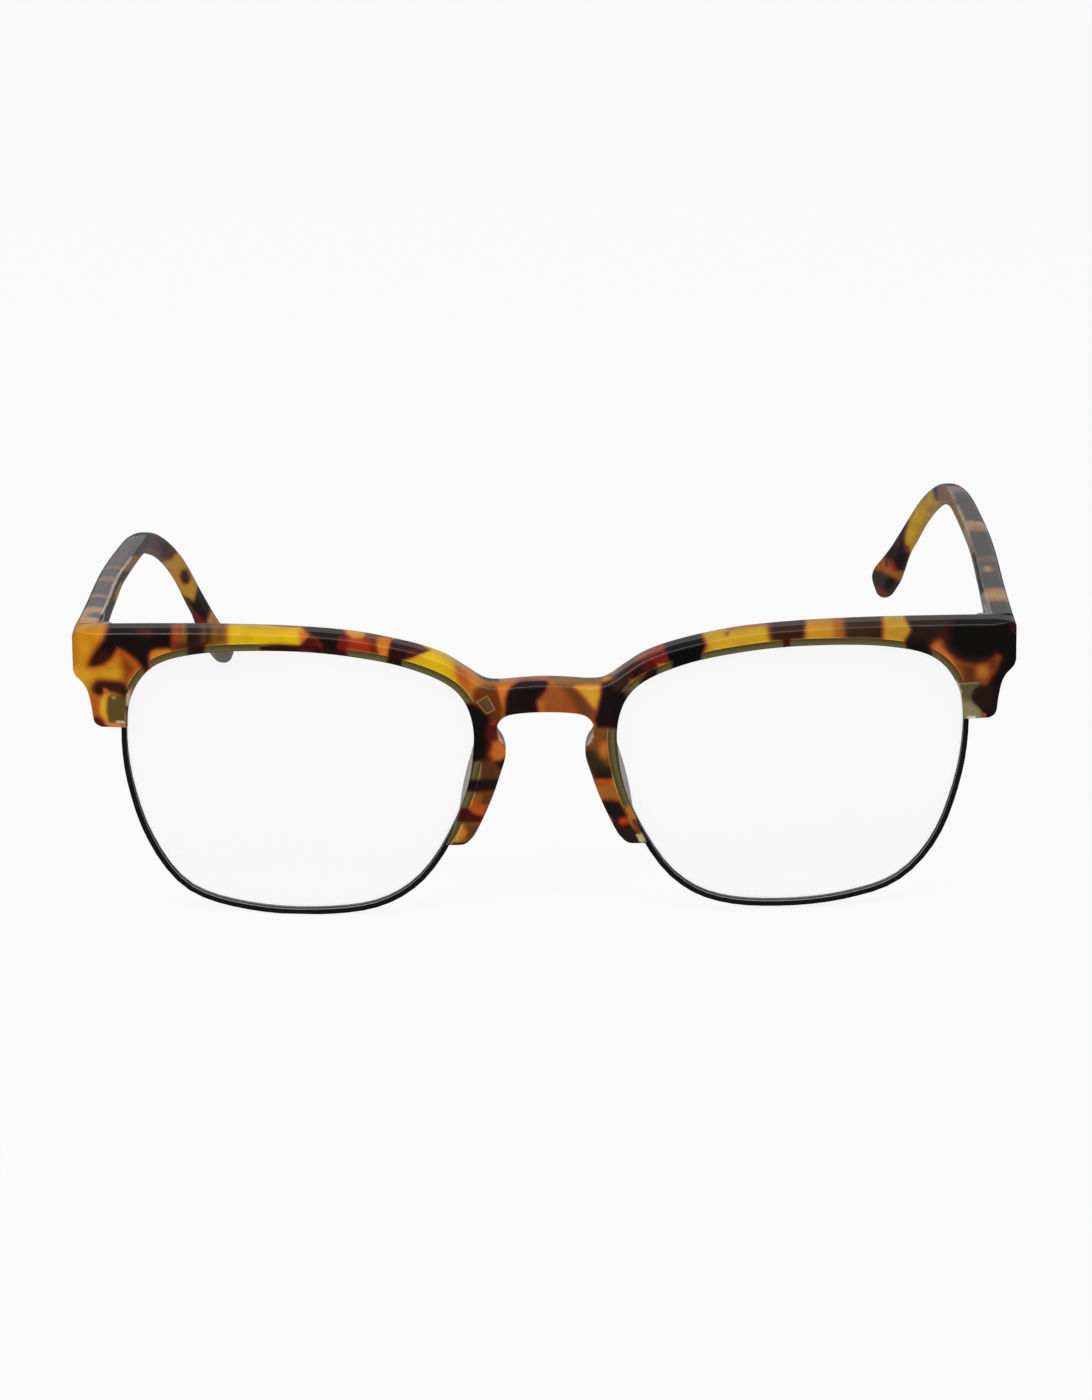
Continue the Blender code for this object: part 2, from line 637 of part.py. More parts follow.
def temple_places():
    straight = TEMPLE_LENGTH - TEMPLE_TIP_RADIUS
    places = [straight * i / TEMPLE_STATIONS for i in range(TEMPLE_STATIONS + 1)]
    return ([(along, 1.0) for along in places]
            + [(straight + TEMPLE_TIP_RADIUS * math.sin(angle), math.cos(angle))
               for angle in TIP_ROUNDING_ANGLES])


def temple_ring(station, along, shrink):
    # One section, hung from the temple's straight top edge
    position, inward, upward = station
    full = temple_height(along)
    centre = position + upward * (TEMPLE_HEIGHT - full) / 2
    thick = TEMPLE_THICKNESS + (TEMPLE_TIP_THICKNESS - TEMPLE_THICKNESS) * bent_share(along)
    wide = thick * (TIP_THIN_SHARE + (1 - TIP_THIN_SHARE) * shrink)
    return section_ring(centre, inward, upward, wide, full * shrink)


def make_temple(name, side, hinge):
    places = temple_places()
    stations = temple_path(name, [along for along, shrink in places])
    rings = [temple_ring(station, along, shrink)
             for station, (along, shrink) in zip(stations, places)]
    for point in rings[0]:
        point.y = FRONT_THICKNESS + bow(point.x) + SEAT_GAP
    temple = loft(f"temple_{name}", rings, ACETATE)

    spots = [CORE_START + (CORE_END - CORE_START) * i / CORE_STATIONS
             for i in range(CORE_STATIONS + 1)]
    path = temple_path(name, spots)
    core = core_wire(f"temple_core_{name}", path, spots, 0, 0)
    bore = core_wire(f"cut_core_{name}", path, spots, SEAT_GAP, CORE_START + OVERRUN)
    add_boolean(temple, as_cutter(bore))
    low, high = temple_leaf_box(side, SEAT_GAP)
    recess = box(f"cut_leaf_recess_{name}", low, high, ACETATE)
    add_boolean(temple, as_cutter(recess))
    bake(temple)
    hang(temple, hinge)
    hang(core, hinge)


def core_wire(name, path, spots, grow, reach):
    # Stiffening wire inside the temple, or with grow and reach its bore, open at the hinge end
    rings = []
    last = len(spots) - 1
    for i, (station, along) in enumerate(zip(path, spots)):
        position, inward, upward = station
        centre = position + upward * (TEMPLE_HEIGHT - temple_height(along)) / 2
        ahead = inward.cross(upward)
        if ahead.y < 0:
            ahead = -ahead
        centre = centre + ahead * (grow if i == last else -reach if i == 0 else 0)
        thick, tall = CORE_THICKNESS / 2 + grow, CORE_HEIGHT / 2 + grow
        rings.append([centre + inward * across * thick + upward * up * tall
                      for across, up in ((1, 1), (-1, 1), (-1, -1), (1, -1))])
    return loft(name, rings, STEEL)


def hang(piece, hinge):
    # Gives a moving piece its origin on the hinge axis
    piece.data.transform(Matrix.Translation(-hinge.location))
    piece.parent = hinge


def leaf_matrix(side):
    # Frame of the front leaf: at the hinge, turned with the bowed back face
    back = FRONT_THICKNESS + bow(HINGE_X)
    return (Matrix.Translation((side * HINGE_X, back, TEMPLE_Z))
            @ Matrix.Rotation(side * HINGE_TURN, 4, "Z") @ Matrix.Diagonal((side, 1, 1, 1)))


def front_leaf_box(grow):
    # Plate of the front leaf, flush with the back face, in its own frame
    outer = EYE_RADIUS
    inner = outer - FRONT_LEAF_WIDTH
    tall = HINGE_STACK / 2
    return ((inner - grow, -LEAF_THICKNESS - grow, -tall - grow), (outer + grow, 0, tall + grow))


def temple_leaf_box(side, grow):
    # Plate of the temple leaf, partly let into the temple's inner face
    face = TEMPLE_X - TEMPLE_THICKNESS / 2
    inner = face - LEAF_PROUD
    outer = inner + LEAF_THICKNESS
    start = HINGE_Y + TEMPLE_LEAF_OFFSET
    if grow:
        inner = face - OVERRUN
        start = HINGE_Y - OVERRUN
    x = sorted((side * inner, side * (outer + grow)))
    tall = LEAF_HEIGHT / 2
    return ((x[0], start - grow, TEMPLE_Z - tall - grow),
            (x[1], HINGE_Y + TEMPLE_LEAF_OFFSET + TEMPLE_LEAF_LENGTH + grow, TEMPLE_Z + tall + grow))


def eye_levels():
    # Bottom of the three stacked eyes
    first = TEMPLE_Z - HINGE_STACK / 2
    return [first + k * (EYE_HEIGHT + EYE_GAP) for k in range(3)]


def add_eye(leaf, name, side, bottom, neck_low, neck_high):
    # Joins one eye and its neck to a leaf; the eye stands on the hinge axis
    top = bottom + EYE_HEIGHT
    eye = cylinder(f"eye_{name}", (side * HINGE_X, HINGE_Y, bottom), (side * HINGE_X, HINGE_Y, top),
                   EYE_RADIUS, ROUND_SIDES, STEEL)
    x = sorted((side * neck_low[0], side * neck_high[0]))
    inset = EYE_HEIGHT * EYE_NECK_SHARES[1]
    neck = box(f"neck_{name}", (x[0], neck_low[1], bottom + inset),
               (x[1], neck_high[1], top - inset), STEEL)
    for tool in (neck, eye):
        add_boolean(leaf, as_cutter(tool), "UNION")


def make_hinge(name, side, hinge):
    # Three-eye hinge: one eye on the front, two on the temple, and its screw
    levels = eye_levels()
    front_leaf = box(f"hinge_front_leaf_{name}", *front_leaf_box(0), STEEL, leaf_matrix(side))
    reach = EYE_RADIUS * EYE_NECK_SHARES[0]
    sunk = FRONT_THICKNESS + bow(HINGE_X) - LEAF_THICKNESS / 2
    add_eye(front_leaf, f"front_{name}", side, levels[1], (HINGE_X - reach, sunk),
            (HINGE_X + reach, HINGE_Y))

    temple_leaf = box(f"hinge_temple_leaf_{name}", *temple_leaf_box(side, 0), STEEL)
    plate = TEMPLE_X - TEMPLE_THICKNESS / 2 - LEAF_PROUD + LEAF_THICKNESS / 2
    for level in (levels[0], levels[2]):
        add_eye(temple_leaf, f"temple_{name}_{level:.4f}", side, level, (HINGE_X, HINGE_Y),
                (plate, HINGE_Y + TEMPLE_LEAF_OFFSET + EYE_RADIUS))

    bottom = levels[0] - OVERRUN
    top = levels[2] + EYE_HEIGHT + OVERRUN
    hole = as_cutter(cylinder(f"cut_hinge_screw_{name}", (side * HINGE_X, HINGE_Y, bottom),
                              (side * HINGE_X, HINGE_Y, top), HINGE_SCREW_RADIUS + SCREW_FIT,
                              ROUND_SIDES, STEEL))
    for leaf in (front_leaf, temple_leaf):
        add_boolean(leaf, hole)
        bake(leaf)
    head_end = (side * HINGE_X, HINGE_Y, levels[2] + EYE_HEIGHT + SCREW_FIT + HINGE_HEAD_HEIGHT)
    tip_end = (side * HINGE_X, HINGE_Y, levels[0])
    pin = screw(f"hinge_screw_{name}", head_end, tip_end, HINGE_SCREW_RADIUS, HINGE_HEAD_RADIUS,
                HINGE_HEAD_HEIGHT, STEEL)
    hang(temple_leaf, hinge)
    hang(pin, hinge)


def stand_up(stand):
    # Tilts the frame back until the lower temple tip and both rims touch the ground
    bpy.context.view_layer.update()
    pivot_y = RIM_SET_BACK + RIM_DEPTH + bow(LENS_X)
    temples = [piece for piece in frame_parts.objects if piece.name in ("temple_left", "temple_right")]
    points = [vertex.co + piece.parent.location for piece in temples for vertex in piece.data.vertices]
    tilt = min(math.atan2(point.z, point.y - pivot_y) for point in points
               if point.y > TEMPLE_BEND_START)
    stand.rotation_euler.x = -tilt
    bpy.context.view_layer.update()
    points = [piece.matrix_world @ vertex.co for piece in frame_parts.objects
              if piece.type == "MESH" for vertex in piece.data.vertices]
    low = Vector([min(point[axis] for point in points) for axis in range(3)])
    high = Vector([max(point[axis] for point in points) for axis in range(3)])
    stand.location = (-(low.x + high.x) / 2, -(low.y + high.y) / 2, -low.z)
    bpy.context.view_layer.update()
    print("tilt", round(math.degrees(tilt), 4), "stand", [round(at, 6) for at in stand.location])
    for piece in frame_parts.objects:
        if piece.name.startswith("hinge_axis"):
            print(piece.name, [round(at, 6) for at in piece.matrix_world.translation])


def make_empty(name, location, parent):
    empty = bpy.data.objects.new(name, None)
    frame_parts.objects.link(empty)
    empty.location = location
    empty.parent = parent
    return empty


def build():
    stand = make_empty("stand", (0, 0, 0), None)
    front = make_front()
    for name, side in SIDES.items():
        hinge = make_empty(f"hinge_axis_{name}", (side * HINGE_X, HINGE_Y, TEMPLE_Z), stand)
        make_lens(name, side)
        make_rim(name, side)
        make_closing_blocks(name, side)
        make_tab(name, side)
        make_nose_pad(name, side)
        make_temple(name, side, hinge)
        make_hinge(name, side, hinge)
    for piece in frame_parts.objects:
        if piece.parent is None and piece is not stand:
            piece.parent = stand
    stand_up(stand)


build()
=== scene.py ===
import math

import bmesh
import bpy
import numpy as np
from mathutils import Matrix, Vector, noise


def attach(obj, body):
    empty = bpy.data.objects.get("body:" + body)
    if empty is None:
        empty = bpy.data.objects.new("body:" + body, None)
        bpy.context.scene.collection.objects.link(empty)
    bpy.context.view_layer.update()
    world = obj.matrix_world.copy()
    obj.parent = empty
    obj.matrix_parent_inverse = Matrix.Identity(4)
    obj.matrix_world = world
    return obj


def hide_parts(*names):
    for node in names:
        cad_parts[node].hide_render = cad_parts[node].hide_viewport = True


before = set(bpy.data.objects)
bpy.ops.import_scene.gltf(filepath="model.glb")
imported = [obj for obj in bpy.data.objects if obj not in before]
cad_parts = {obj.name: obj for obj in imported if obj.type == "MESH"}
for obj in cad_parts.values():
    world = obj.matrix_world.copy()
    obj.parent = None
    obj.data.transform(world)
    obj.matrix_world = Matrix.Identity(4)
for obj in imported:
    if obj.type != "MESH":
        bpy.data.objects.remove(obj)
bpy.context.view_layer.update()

# Camera of the photograph, in metres and degrees
camera = {"place": (0.00025, -0.91657, 0.28005), "down": 16.26, "turn": -0.01, "roll": -0.60,
          "lens": 153.9, "sensor": 36.0, "pixels": (1092, 1400), "nearest": 0.01}

# How the flat front stands: tilted back, and bowed round a large radius
stand = {"tilt": math.radians(1.3783), "place": (-0.000052, -0.071854, 0.00015), "bow": 0.350,
         "thick": 0.0040}

tiny = 1e-7  # points nearer than this become one


def toWorld(point):
    # From flat front coordinates to the model's own
    x, y, z = point
    c, s = math.cos(stand["tilt"]), math.sin(stand["tilt"])
    return Vector((x, y * c + z * s, z * c - y * s)) + Vector(stand["place"])


def toFront(places):
    # Arrays of model points as flat front coordinates: across, depth, height
    moved = places - np.array(stand["place"])
    c, s = math.cos(stand["tilt"]), math.sin(stand["tilt"])
    return moved[:, 0], moved[:, 1] * c - moved[:, 2] * s, moved[:, 1] * s + moved[:, 2] * c


def bowAt(x):
    return stand["bow"] - math.sqrt(stand["bow"] ** 2 - x ** 2)


def cameraAxes():
    down, turn, roll = (math.radians(camera[key]) for key in ("down", "turn", "roll"))
    ahead = Vector((math.sin(turn) * math.cos(down), math.cos(turn) * math.cos(down), -math.sin(down)))
    level = Vector((math.cos(turn), -math.sin(turn), 0))
    upright = level.cross(ahead)
    across = level * math.cos(roll) + upright * math.sin(roll)
    return across, upright * math.cos(roll) - level * math.sin(roll), ahead


def onPhoto(places):
    # Pixel of the photograph that shows each place
    away = places - np.array(camera["place"])
    across, upright, ahead = (away @ np.array(axis) for axis in cameraAxes())
    wide, tall = camera["pixels"]
    scale = camera["lens"] / camera["sensor"] * tall
    return wide / 2 + scale * across / ahead, tall / 2 - scale * upright / ahead


def tone(red, green, blue):
    # A colour written as a screen shows it, for the shader
    return tuple(((part / 255 + 0.055) / 1.055) ** 2.4 if part > 10 else part / 255 / 12.92
                 for part in (red, green, blue))


def smooth(values):
    values = np.clip(values, 0, 1)
    return values * values * (3 - 2 * values)


def curvePlace(t, first, leaving, last, arriving):
    # A place on the smooth curve between two spots, from the runs by which it leaves and arrives
    return ((2 * t ** 3 - 3 * t ** 2 + 1) * first + (t ** 3 - 2 * t ** 2 + t) * leaving
            + (3 * t ** 2 - 2 * t ** 3) * last + (t ** 3 - t ** 2) * arriving)


def depthInside(x, z, outline):
    # Distance to a closed outline, positive inside it
    best = np.full(x.shape, 9.0)
    inside = np.zeros(x.shape, bool)
    for (ax, az), (bx, bz) in zip(outline, outline[1:] + outline[:1]):
        ex, ez = bx - ax, bz - az
        along = np.clip(((x - ax) * ex + (z - az) * ez) / (ex * ex + ez * ez), 0, 1)
        best = np.minimum(best, np.hypot(x - ax - along * ex, z - az - along * ez))
        if az != bz:
            inside ^= ((az > z) != (bz > z)) & (x < ax + (z - az) * ex / (bz - az))
    return np.where(inside, best, -best)


def roundSpot(place, radii, turn=0.0, sides=14):
    # Outline of a round or oval spot
    c, s = math.cos(math.radians(turn)), math.sin(math.radians(turn))
    spots = [(radii[0] * math.cos(2 * math.pi * k / sides), radii[1] * math.sin(2 * math.pi * k / sides))
             for k in range(sides)]
    return [(place[0] + a * c - b * s, place[1] + a * s + b * c) for a, b in spots]


# How patches are laid on: wider soft edges past a softness, and fringes that reach further
brush = {"softer": 1.35, "sharpUpTo": 1.3, "fringeMore": 0.3, "fringeCover": 0.92}


def paintPatches(colours, x, z, patches):
    # Lays each patch over the colours: its fringe first, then its body, both with soft edges
    for outline, colour, soft, *edge in patches:
        depth = depthInside(x, z, outline)
        if edge:
            fringe, reach = edge[0], edge[1] * brush["softer"] + brush["fringeMore"]
            cover = smooth((depth + reach + soft) / (reach + 2 * soft))[:, None] * brush["fringeCover"]
            colours += (np.array(tone(*fringe)) - colours) * cover
        if soft > brush["sharpUpTo"]:
            soft *= brush["softer"]
        cover = smooth((depth + soft) / (2 * soft))[:, None]
        colours += (np.array(tone(*colour)) - colours) * cover
    return colours


def wander(places, size, amount, seed):
    # Smooth wandering of a pattern's coordinates
    drift = [noise.noise_vector(Vector(place) / size + Vector((seed, seed, seed))) for place in places]
    return np.array([tuple(step) for step in drift]) * amount


def meshPoints(mesh, what="co"):
    values = np.empty(len(mesh.vertices) * 3)
    mesh.vertices.foreach_get(what, values)
    return values.reshape(-1, 3)


def storeColour(mesh, name, colours):
    layer = mesh.color_attributes.new(name, "FLOAT_COLOR", "POINT")
    whole = np.ones((len(colours), 4))
    whole[:, :3] = np.clip(colours, 0, 1)
    layer.data.foreach_set("color", whole.ravel())


def storeValue(mesh, name, values, domain="POINT"):
    layer = mesh.attributes.new(name, "FLOAT", domain)
    layer.data.foreach_set("value", np.asarray(values, dtype=float))


def linked(name, data):
    made = bpy.data.objects.new(name, data)
    bpy.context.scene.collection.objects.link(made)
    return made


def meshObject(name, shape):
    mesh = bpy.data.meshes.new(name)
    shape.to_mesh(mesh)
    shape.free()
    return linked(name, mesh)


def addPiece(name, shape, material, body, slot, *replaced):
    # Makes a finished piece of a bmesh and ties it to the frame
    piece = meshObject(name, shape)
    piece.data.materials.append(material)
    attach(piece, body)
    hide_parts(*replaced)
    return piece


def mergedCopy(node, weld):
    shape = bmesh.new()
    shape.from_mesh(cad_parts[node].data)
    bmesh.ops.remove_doubles(shape, verts=shape.verts, dist=weld)
    bmesh.ops.dissolve_degenerate(shape, edges=shape.edges, dist=weld)
    return shape


def sliceAcross(shape, axis, step):
    # Cuts a shape into even strips, so that a colour per point can follow a pattern
    low = min(vertex.co[axis] for vertex in shape.verts)
    high = max(vertex.co[axis] for vertex in shape.verts)
    normal = Vector([1.0 if k == axis else 0.0 for k in range(3)])
    for k in range(1, int((high - low) / step) + 1):
        bmesh.ops.bisect_plane(shape, geom=shape.verts[:] + shape.edges[:] + shape.faces[:],
                               dist=tiny, plane_co=normal * (low + k * step), plane_no=normal)


def newMaterial(name):
    material = bpy.data.materials.new(name)
    material.use_nodes = True
    tree = material.node_tree
    return material, tree, tree.nodes["Principled BSDF"]


def plug(tree, socket, value):
    # Links a node's output to a socket, or sets the socket's own value
    if isinstance(value, bpy.types.NodeSocket):
        tree.links.new(value, socket)
    else:
        socket.default_value = value


def plugNamed(tree, node, **inputs):
    for key, value in inputs.items():
        plug(tree, node.inputs[key.replace("_", " ")], value)


def addNode(tree, kind, settings=None, **inputs):
    node = tree.nodes.new(kind)
    for key, value in (settings or {}).items():
        setattr(node, key, value)
    plugNamed(tree, node, **inputs)
    return node


def plugInTurn(tree, node, *values):
    for socket, value in zip(node.inputs, values):
        plug(tree, socket, value)
    return node.outputs[0]


def attribute(tree, name, kind="Fac"):
    return addNode(tree, "ShaderNodeAttribute", {"attribute_name": name}).outputs[kind]


def objectNoise(tree, scale, detail=3.0, stretch=(1, 1, 1)):
    place = addNode(tree, "ShaderNodeTexCoord")
    mapping = addNode(tree, "ShaderNodeMapping", Vector=place.outputs["Object"], Scale=stretch)
    return addNode(tree, "ShaderNodeTexNoise", Vector=mapping.outputs["Vector"], Scale=scale,
                   Detail=detail, Roughness=0.5).outputs["Fac"]


def ranged(tree, value, low, high, fromLow=0.0, fromHigh=1.0):
    return addNode(tree, "ShaderNodeMapRange", Value=value, From_Min=fromLow, From_Max=fromHigh,
                   To_Min=low, To_Max=high).outputs["Result"]


def calculated(tree, operation, first, second):
    return plugInTurn(tree, addNode(tree, "ShaderNodeMath", {"operation": operation}), first, second)


def between(tree, value, low, high, soft):
    # 1 where the value lies between two limits, with soft ends
    rise = ranged(tree, value, 0.0, 1.0, low, low + soft)
    return calculated(tree, "MULTIPLY", rise, ranged(tree, value, 1.0, 0.0, high - soft, high))


def mixColour(tree, mode, amount, first, second):
    node = addNode(tree, "ShaderNodeMix", {"data_type": "RGBA", "blend_type": mode})
    plug(tree, node.inputs[0], amount)
    for socket, value in ((node.inputs[6], first), (node.inputs[7], second)):
        plug(tree, socket, value if isinstance(value, bpy.types.NodeSocket) else (*value, 1))
    return node.outputs[2]


def shaded(tree, amount, colour, change, dark, light):
    # Multiplies a colour by a shade that runs from dark to light
    return mixColour(tree, "MULTIPLY", amount, colour, mixColour(tree, "MIX", change, dark, light))


def mixShader(tree, share, first, second):
    return plugInTurn(tree, addNode(tree, "ShaderNodeMixShader"), share, first, second)


def addBump(tree, shader, height, strength, distance):
    bump = addNode(tree, "ShaderNodeBump", Strength=strength, Distance=distance, Height=height)
    plugNamed(tree, shader, Normal=bump.outputs["Normal"])


acetateLook = {"roughness": (0.10, 0.13), "level": 0.42, "topLevel": 0.10, "index": 1.49,
               "clouds": 260, "cloudRange": (0.32, 0.68),
               "cloudShades": ((0.86, 0.81, 0.76), (1.10, 1.07, 1.08)), "grain": 900,
               "grainLong": (1.0, 0.4, 1.0), "grainShare": 0.5,
               "grainShades": ((0.95, 0.94, 0.93), (1.04, 1.04, 1.04)),
               "polish": 120, "polishBump": (0.10, 0.00012)}


def polishedAcetate(name, withRim):
    # Cast acetate: the pattern's colour with its painted highlights and painted sheen, cloudy inside, polished
    # outside
    look = acetateLook
    material, tree, shader = newMaterial(name)
    pattern = attribute(tree, "tortoiseAndPaintedLight", "Color")
    clouds = ranged(tree, objectNoise(tree, look["clouds"], 4.0), 0.0, 1.0, *look["cloudRange"])
    colour = shaded(tree, 1.0, pattern, clouds, *look["cloudShades"])
    grain = objectNoise(tree, look["grain"], 2.0, look["grainLong"])
    colour = shaded(tree, look["grainShare"], colour, grain, *look["grainShades"])
    level = look["level"]
    if withRim:
        colour = rimSeenThrough(tree, colour)
        level = ranged(tree, attribute(tree, "topFace"), look["level"], look["topLevel"])
    plugNamed(tree, shader, Base_Color=colour, Roughness=ranged(tree, grain, *look["roughness"]),
              Specular_IOR_Level=level, IOR=look["index"])
    addBump(tree, shader, objectNoise(tree, look["polish"], 2.0), *look["polishBump"])
    return material


# Metal seen through the front: each band by its distance outside the lens in millimetres, then the
# softness of its ends, and the same for the tab by its distance inside the tab's outline in pixels
# The glint and the tab's edge line are painted highlights; the edge band is painted shade on the opening's wall
seenMetal = {"speckle": 2600, "speckleShare": 0.7, "speckleShades": ((0.72, 0.72, 0.72), (1.28, 1.28, 1.3)),
             "olives": (tone(112, 105, 68), tone(78, 66, 24)), "oliveRange": (-0.35, 0.60),
             "darkShade": (0.72, 0.68, 0.66), "rim": (-9.0, 0.70, 0.07), "glint": (0.62, 0.86, 0.08),
             "glintShare": 0.5, "glintLight": (0.20, 0.16, 0.07), "edge": (-9.0, -0.22, 0.10),
             "edgeShare": 0.7, "edgeShade": (0.12, 0.10, 0.09), "tab": (0.0, 90.0, 0.5),
             "tabShare": 0.62, "tabColour": tone(94, 80, 42), "tabGlintBand": (-0.9, 1.1, 0.6),
             "tabGlintShare": 0.6, "tabGlintLight": (0.30, 0.17, 0.05), "blockShare": 0.6,
             "blockShades": ((0.8, 0.8, 0.8), (1.25, 1.25, 1.3))}


def rimSeenThrough(tree, colour):
    # The metal rim, its blocks and its tab show olive through the clearer acetate; painted highlight lines run
    # along the band's outer edge and the tab's outline, and painted shade darkens the opening's wall
    look = seenMetal
    gap, shows, tab = attribute(tree, "rimDistance"), attribute(tree, "rimShows"), attribute(tree, "tabInside")
    speckle = objectNoise(tree, look["speckle"], 2.0)
    olive = mixColour(tree, "MIX", ranged(tree, gap, 0.0, 1.0, *look["oliveRange"]), *look["olives"])
    olive = shaded(tree, look["speckleShare"], olive, speckle, *look["speckleShades"])
    dark = mixColour(tree, "MULTIPLY", 1.0, colour, look["darkShade"])
    covered = mixColour(tree, "MIX", shows, dark, olive)
    banded = mixColour(tree, "MIX", between(tree, gap, *look["rim"]), colour, covered)
    # Painted highlight along the band's outer edge and round the tab; painted shade on the opening's wall
    glint = calculated(tree, "MULTIPLY", between(tree, gap, *look["glint"]), shows)
    edge, inside, line = (between(tree, gap, *look["edge"]), between(tree, tab, *look["tab"]),
                          between(tree, tab, *look["tabGlintBand"]))
    for mode, place, share, tint in (("ADD", glint, "glintShare", "glintLight"),
                                     ("MULTIPLY", edge, "edgeShare", "edgeShade"),
                                     ("MIX", inside, "tabShare", "tabColour"),
                                     ("ADD", line, "tabGlintShare", "tabGlintLight")):
        banded = mixColour(tree, mode, calculated(tree, "MULTIPLY", place, look[share]), banded, look[tint])
    blocks = shaded(tree, look["blockShare"], attribute(tree, "blocks", "Color"), speckle, *look["blockShades"])
    return mixColour(tree, "MIX", attribute(tree, "blockShows"), banded, blocks)


metalLook = {"brush": 3000, "brushLong": (0.12, 0.12, 1.0), "brushRange": (0.3, 0.7), "wear": 700,
             "wearShare": 0.6, "wearShades": ((0.7, 0.7, 0.7), (1.1, 1.1, 1.1)),
             "roughness": (0.75, 1.3), "bumpDepth": 0.00003}
# Swing is how far the brushing darkens and lightens the colour
metals = {
    # The black rim's wall colour is a painted highlight on its inner wall
    "blackRim": {"colour": (0.006, 0.006, 0.007), "roughness": 0.38, "metallic": 0.0, "level": 0.26,
                 "swing": (0.72, 1.25), "bump": 0.3, "wall": (0.34, 0.34, 0.35)},
    "blackBlock": {"colour": (0.012, 0.012, 0.014), "roughness": 0.36, "metallic": 0.0, "level": 0.3,
                   "swing": (0.72, 1.25), "bump": 0.3},
    "hingeSteel": {"colour": (0.66, 0.65, 0.63), "roughness": 0.30, "metallic": 1.0, "level": 0.5,
                   "swing": (0.92, 1.06), "bump": 0.06},
    "screwSteel": {"colour": (0.70, 0.68, 0.65), "roughness": 0.22, "metallic": 1.0, "level": 0.5,
                   "swing": (0.92, 1.06), "bump": 0.06}}


def brushedMetal(name):
    look, metal = metalLook, metals[name]
    material, tree, shader = newMaterial(name)
    brushed = objectNoise(tree, look["brush"], 3.0, look["brushLong"])
    wear = objectNoise(tree, look["wear"], 3.0)
    dark, light = ([min(part * swing, 1) for part in metal["colour"]] for swing in metal["swing"])
    shade = mixColour(tree, "MIX", ranged(tree, brushed, 0.0, 1.0, *look["brushRange"]), dark, light)
    shade = shaded(tree, look["wearShare"], shade, wear, *look["wearShades"])
    # Painted highlight: the rim's inner wall made lighter
    if "wall" in metal:
        shade = mixColour(tree, "MIX", attribute(tree, "innerWallHighlight"), shade, metal["wall"])
    rough = ranged(tree, wear, *(metal["roughness"] * share for share in look["roughness"]))
    plugNamed(tree, shader, Base_Color=shade, Roughness=rough, Metallic=metal["metallic"],
              Specular_IOR_Level=metal["level"])
    addBump(tree, shader, brushed, metal["bump"], look["bumpDepth"])
    return material


lensLook = {"slant": 0.25, "cover": (0.03, 0.42, 0.15, 1.0), "haze": 60,
            "shades": ((0.86, 0.90, 0.89), (0.93, 0.96, 0.95)), "roughness": 0.04, "level": 0.35}


def clearLens(name):
    # Demonstration lens: all but unseen face on, a faint sheen at a slant
    material, tree, shader = newMaterial(name)
    slant = addNode(tree, "ShaderNodeLayerWeight", Blend=lensLook["slant"])
    shade = mixColour(tree, "MIX", objectNoise(tree, lensLook["haze"], 2.0), *lensLook["shades"])
    plugNamed(tree, shader, Base_Color=shade, Alpha=ranged(tree, slant.outputs["Facing"], *lensLook["cover"]),
              Roughness=lensLook["roughness"], Specular_IOR_Level=lensLook["level"])
    return material


# The pads' pale colours are a painted reflection of their glancing sheen
padLook = {"clouds": 300, "shades": (tone(206, 190, 182), tone(238, 226, 220)), "roughness": (0.14, 0.28),
           "through": 0.25, "index": 1.49, "bump": (0.15, 0.00008)}


def paleSheenPad(name):
    # Nearly colourless acetate of the nose pads, its pale colour a painted glancing reflection
    material, tree, shader = newMaterial(name)
    clouds = objectNoise(tree, padLook["clouds"], 3.0)
    plugNamed(tree, shader, Base_Color=mixColour(tree, "MIX", clouds, *padLook["shades"]),
              Roughness=ranged(tree, clouds, *padLook["roughness"]),
              Transmission_Weight=padLook["through"], IOR=padLook["index"])
    addBump(tree, shader, clouds, *padLook["bump"])
    return material


frontAcetate, templeAcetate = polishedAcetate("havanaFront", True), polishedAcetate("havanaTemple", False)
padAcetate = paleSheenPad("paleSheenPadAcetate")
rimMetal, blockMetal, hingeSteel, screwSteel = (brushedMetal(name) for name in metals)
lensClear = clearLens("demoLens")
print("materials made")


lensOutline = {"width": 0.0524, "height": 0.0404, "bridge": 0.0200, "up": 0.00055, "steps": 8,
               "shares": [(0.14, 1.00), (0.535, 0.972), (0.815, 0.872), (0.962, 0.645), (1.00, 0.34),
                          (0.96, -0.055), (0.835, -0.48), (0.62, -0.83), (0.31, -0.97), (-0.065, -1.00),
                          (-0.405, -0.945), (-0.66, -0.735), (-0.87, -0.33), (-0.98, 0.065),
                          (-0.998, 0.42), (-0.885, 0.712), (-0.605, 0.885), (-0.23, 0.975)]}


def lensLoop():
    # The right lens, as a smooth closed outline
    spots = [Vector((lensOutline["bridge"] / 2 + lensOutline["width"] / 2 * (1 + x),
                     lensOutline["up"] + lensOutline["height"] / 2 * (1 + z)))
             for x, z in lensOutline["shares"]]
    loop = []
    for i, spot in enumerate(spots):
        before, after, beyond = spots[i - 1], spots[(i + 1) % len(spots)], spots[(i + 2) % len(spots)]
        for k in range(lensOutline["steps"]):
            place = curvePlace(k / lensOutline["steps"], spot, (after - before) / 2, after, (beyond - spot) / 2)
            loop.append(tuple(place))
    return loop


def insideLens(x, z):
    # How deep each place lies inside the outline of its own side's lens
    loop = lensLoop()
    return np.maximum(depthInside(x, z, loop), depthInside(-x, z, loop))


def fromLensMiddle(x, z):
    # How far out and up each place lies from the middle of its own side's lens
    return (np.abs(x) - lensOutline["bridge"] / 2 - lensOutline["width"] / 2,
            z - lensOutline["up"] - lensOutline["height"] / 2)


yellow, amber, nearBlack, white = (233, 191, 6), (222, 150, 12), (22, 9, 8), (255, 255, 255)
